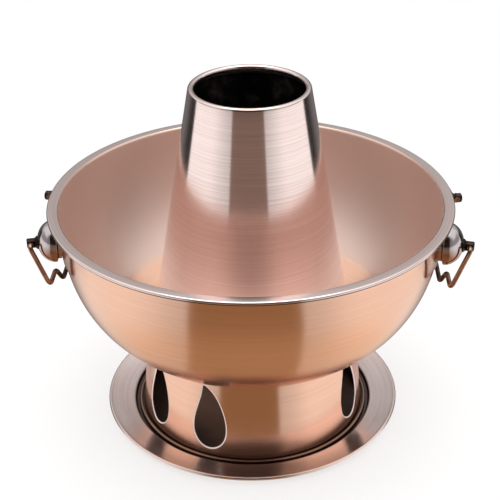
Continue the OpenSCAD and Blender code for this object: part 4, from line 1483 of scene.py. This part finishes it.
class HOTPOT_OT_stage(Operator):
    """Set the camera, the lights, the studio and the pale floor"""

    bl_idname = "hotpot.stage"
    bl_label = "Stage"

    def execute(self, context):
        stage = context.scene.hot_pot_stage
        self.add_camera(context, stage)
        self.add_world(context, stage, context.scene.hot_pot_studio)
        self.add_lamp(context, stage)
        self.add_floor(context, stage)
        context.scene.view_settings.view_transform = "Standard"
        return {"FINISHED"}

    def add_camera(self, context, stage):
        data = bpy.data.cameras.new("Camera")
        data.lens, data.sensor_width = stage.camera_lens, 36.0
        data.clip_start, data.clip_end = 0.05, 20.0
        camera = bpy.data.objects.new("Camera", data)
        context.scene.collection.objects.link(camera)
        look = Matrix.Rotation(math.pi / 2 - stage.camera_pitch, 4, "X")
        look = look @ Matrix.Rotation(stage.camera_roll, 4, "Z")
        at = Vector((stage.camera_side, -stage.camera_back, stage.camera_up))
        round_axis = Matrix.Rotation(stage.camera_turn, 4, "Z")
        camera.matrix_world = round_axis @ Matrix.Translation(at) @ look
        context.scene.camera = camera

    def add_world(self, context, stage, studio):
        """White behind the object; in its metal, bright sides and dark cards before and behind it."""
        world = bpy.data.worlds.new("Studio")
        world.use_nodes = True
        context.scene.world = world
        tree = Tree(world.node_tree)
        x, y, z = split(tree, tree.node("ShaderNodeTexCoord", output="Generated"))
        turned_x = x * math.cos(stage.camera_turn) + y * math.sin(stage.camera_turn)
        turned_y = y * math.cos(stage.camera_turn) - x * math.sin(stage.camera_turn)
        half_card = stage.card_width - turned_y * stage.card_flare
        half_card = half_card.math("MINIMUM", stage.card_most)
        past_card = (turned_x + stage.card_shift).math("ABSOLUTE") - half_card
        above = tree.step(z, *studio.ceiling)
        below = 1 - tree.step(z, *studio.table)
        in_front = 1 - tree.step(turned_y, *studio.card_front)
        in_gap = tree.step(turned_y, *studio.gap_depth) * tree.step(z, *studio.gap_height)
        card = 1 - tree.step(past_card, -studio.card_edge, studio.card_edge)
        card = card * (1 - above * (1 - in_front)) * (1 - in_gap)
        sides = studio.side_level + tree.step(past_card, 0.0, studio.side_reach) * studio.side_gain
        band_foot, wall_top = tree.step(z, *studio.band_height), tree.step(z, *studio.wall_top)
        band = tree.step(turned_y, *studio.band_depth) * band_foot * (1 - wall_top)
        band = band * (studio.band_dark - tree.step(turned_y, *studio.band_fade) * studio.band_lift)
        wall = tree.step(turned_y, *studio.wall_depth) * (1 - below) * (1 - band_foot)
        high_wall = tree.step(turned_y, *studio.high_depth) * wall_top
        level = sides * (1 - band) * (1 - wall * studio.wall_dark)
        level = level * (1 - high_wall * studio.high_dark)
        facing = (1 - tree.step(turned_y, *studio.dim_depth)) * (1 - tree.step(z, *studio.dim_height))
        dim = tree.step(z, *studio.dim_start) * facing.math("MAXIMUM", in_front) * studio.dim_dark
        level = (level * (1 - above) + above * studio.ceiling_level) * (1 - dim)
        seen = tree.node("ShaderNodeLightPath", output="Is Camera Ray")
        glossy = tree.also(seen, "Is Glossy Ray")
        plain = seen + (1 - seen) * stage.fill_level
        strength = plain * (1 - glossy) + glossy * level
        card_tint = tree.mix(tree.step(z, *studio.card_turn), stage.card_low, stage.card_high)
        card_tint = tree.mix(tree.step(z, *studio.card_rise), card_tint, stage.card_top)
        card_tint = tree.mix(below, card_tint, stage.card_under)
        side_tint = tree.mix(below, WHITE, stage.under)
        tint = tree.mix(glossy, WHITE, tree.mix(card, side_tint, card_tint))
        background = tree.node("ShaderNodeBackground", inputs={"Color": tint, "Strength": strength})
        tree.node("ShaderNodeOutputWorld", inputs={"Surface": background})

    def add_lamp(self, context, stage):
        data = bpy.data.lights.new("Soft lamp", "AREA")
        data.shape, data.size = "DISK", stage.lamp_size
        data.energy = stage.lamp_power
        lamp = bpy.data.objects.new("Soft lamp", data)
        lamp.location = (0, stage.lamp_back, stage.lamp_up)
        context.scene.collection.objects.link(lamp)

    def add_floor(self, context, stage):
        mesh = bmesh.new()
        bmesh.ops.create_circle(mesh, cap_ends=True, segments=128, radius=stage.floor_r)
        data = bpy.data.meshes.new("Floor")
        mesh.to_mesh(data)
        mesh.free()
        floor = bpy.data.objects.new("Floor", data)
        floor.location.z = -stage.floor_drop
        context.scene.collection.objects.link(floor)
        material, tree = new_material("Pale floor")
        away = {0: place_of(tree)}
        away = tree.node("ShaderNodeVectorMath", {"operation": "LENGTH"}, away, "Value")
        seen = tree.node("ShaderNodeLightPath", output="Is Camera Ray")
        pale = tree.node("ShaderNodeBsdfDiffuse", inputs={"Color": rgba(stage.floor_shade)})
        white = tree.node("ShaderNodeEmission")
        inputs = {0: seen * stage.floor_white, 1: pale, 2: white}
        near = tree.node("ShaderNodeMixShader", inputs=inputs)
        starts, ends = stage.floor_fade
        fade = tree.step(away, starts * stage.floor_r, ends * stage.floor_r)
        gone = fade.math("MAXIMUM", tree.also(seen, "Is Glossy Ray"))
        clear = tree.node("ShaderNodeBsdfTransparent")
        surface = tree.node("ShaderNodeMixShader", inputs={0: gone, 1: near, 2: clear})
        tree.node("ShaderNodeOutputMaterial", inputs={"Surface": surface})
        data.materials.append(material)


OPERATORS = (
    HOTPOT_OT_stage,
    HOTPOT_OT_tray,
    HOTPOT_OT_pedestal,
    HOTPOT_OT_bowl,
    HOTPOT_OT_chimney,
    HOTPOT_OT_grate,
    HOTPOT_OT_plates,
    HOTPOT_OT_balls,
    HOTPOT_OT_caps,
    HOTPOT_OT_hidden_parts,
    HOTPOT_OT_bails,
)


class HOTPOT_PT_sidebar(Panel):
    """Lists the hot pot's pieces and their sizes"""

    bl_idname = "HOTPOT_PT_sidebar"
    bl_label = "Chimney hot pot"
    bl_space_type = "VIEW_3D"
    bl_region_type = "UI"
    bl_category = "Hot pot"

    def draw(self, context):
        for kind in OPERATORS:
            self.layout.operator(kind.bl_idname)
        for name in GROUPS:
            box = self.layout.box()
            box.label(text=name.replace("hot_pot_", "").capitalize())
            group = getattr(context.scene, name)
            for key in group.__annotations__:
                box.prop(group, key)


def register():
    for kind in (*GROUPS.values(), *OPERATORS, HOTPOT_PT_sidebar):
        bpy.utils.register_class(kind)
    for name, kind in GROUPS.items():
        setattr(bpy.types.Scene, name, PointerProperty(type=kind))


def unregister():
    for name in GROUPS:
        delattr(bpy.types.Scene, name)
    for kind in reversed((*GROUPS.values(), *OPERATORS, HOTPOT_PT_sidebar)):
        bpy.utils.unregister_class(kind)


def main():
    """Makes the whole hot pot and its stage."""
    register()
    for kind in OPERATORS:
        group, name = kind.bl_idname.split(".")
        getattr(getattr(bpy.ops, group), name)()


if __name__ == "__main__":
    main()
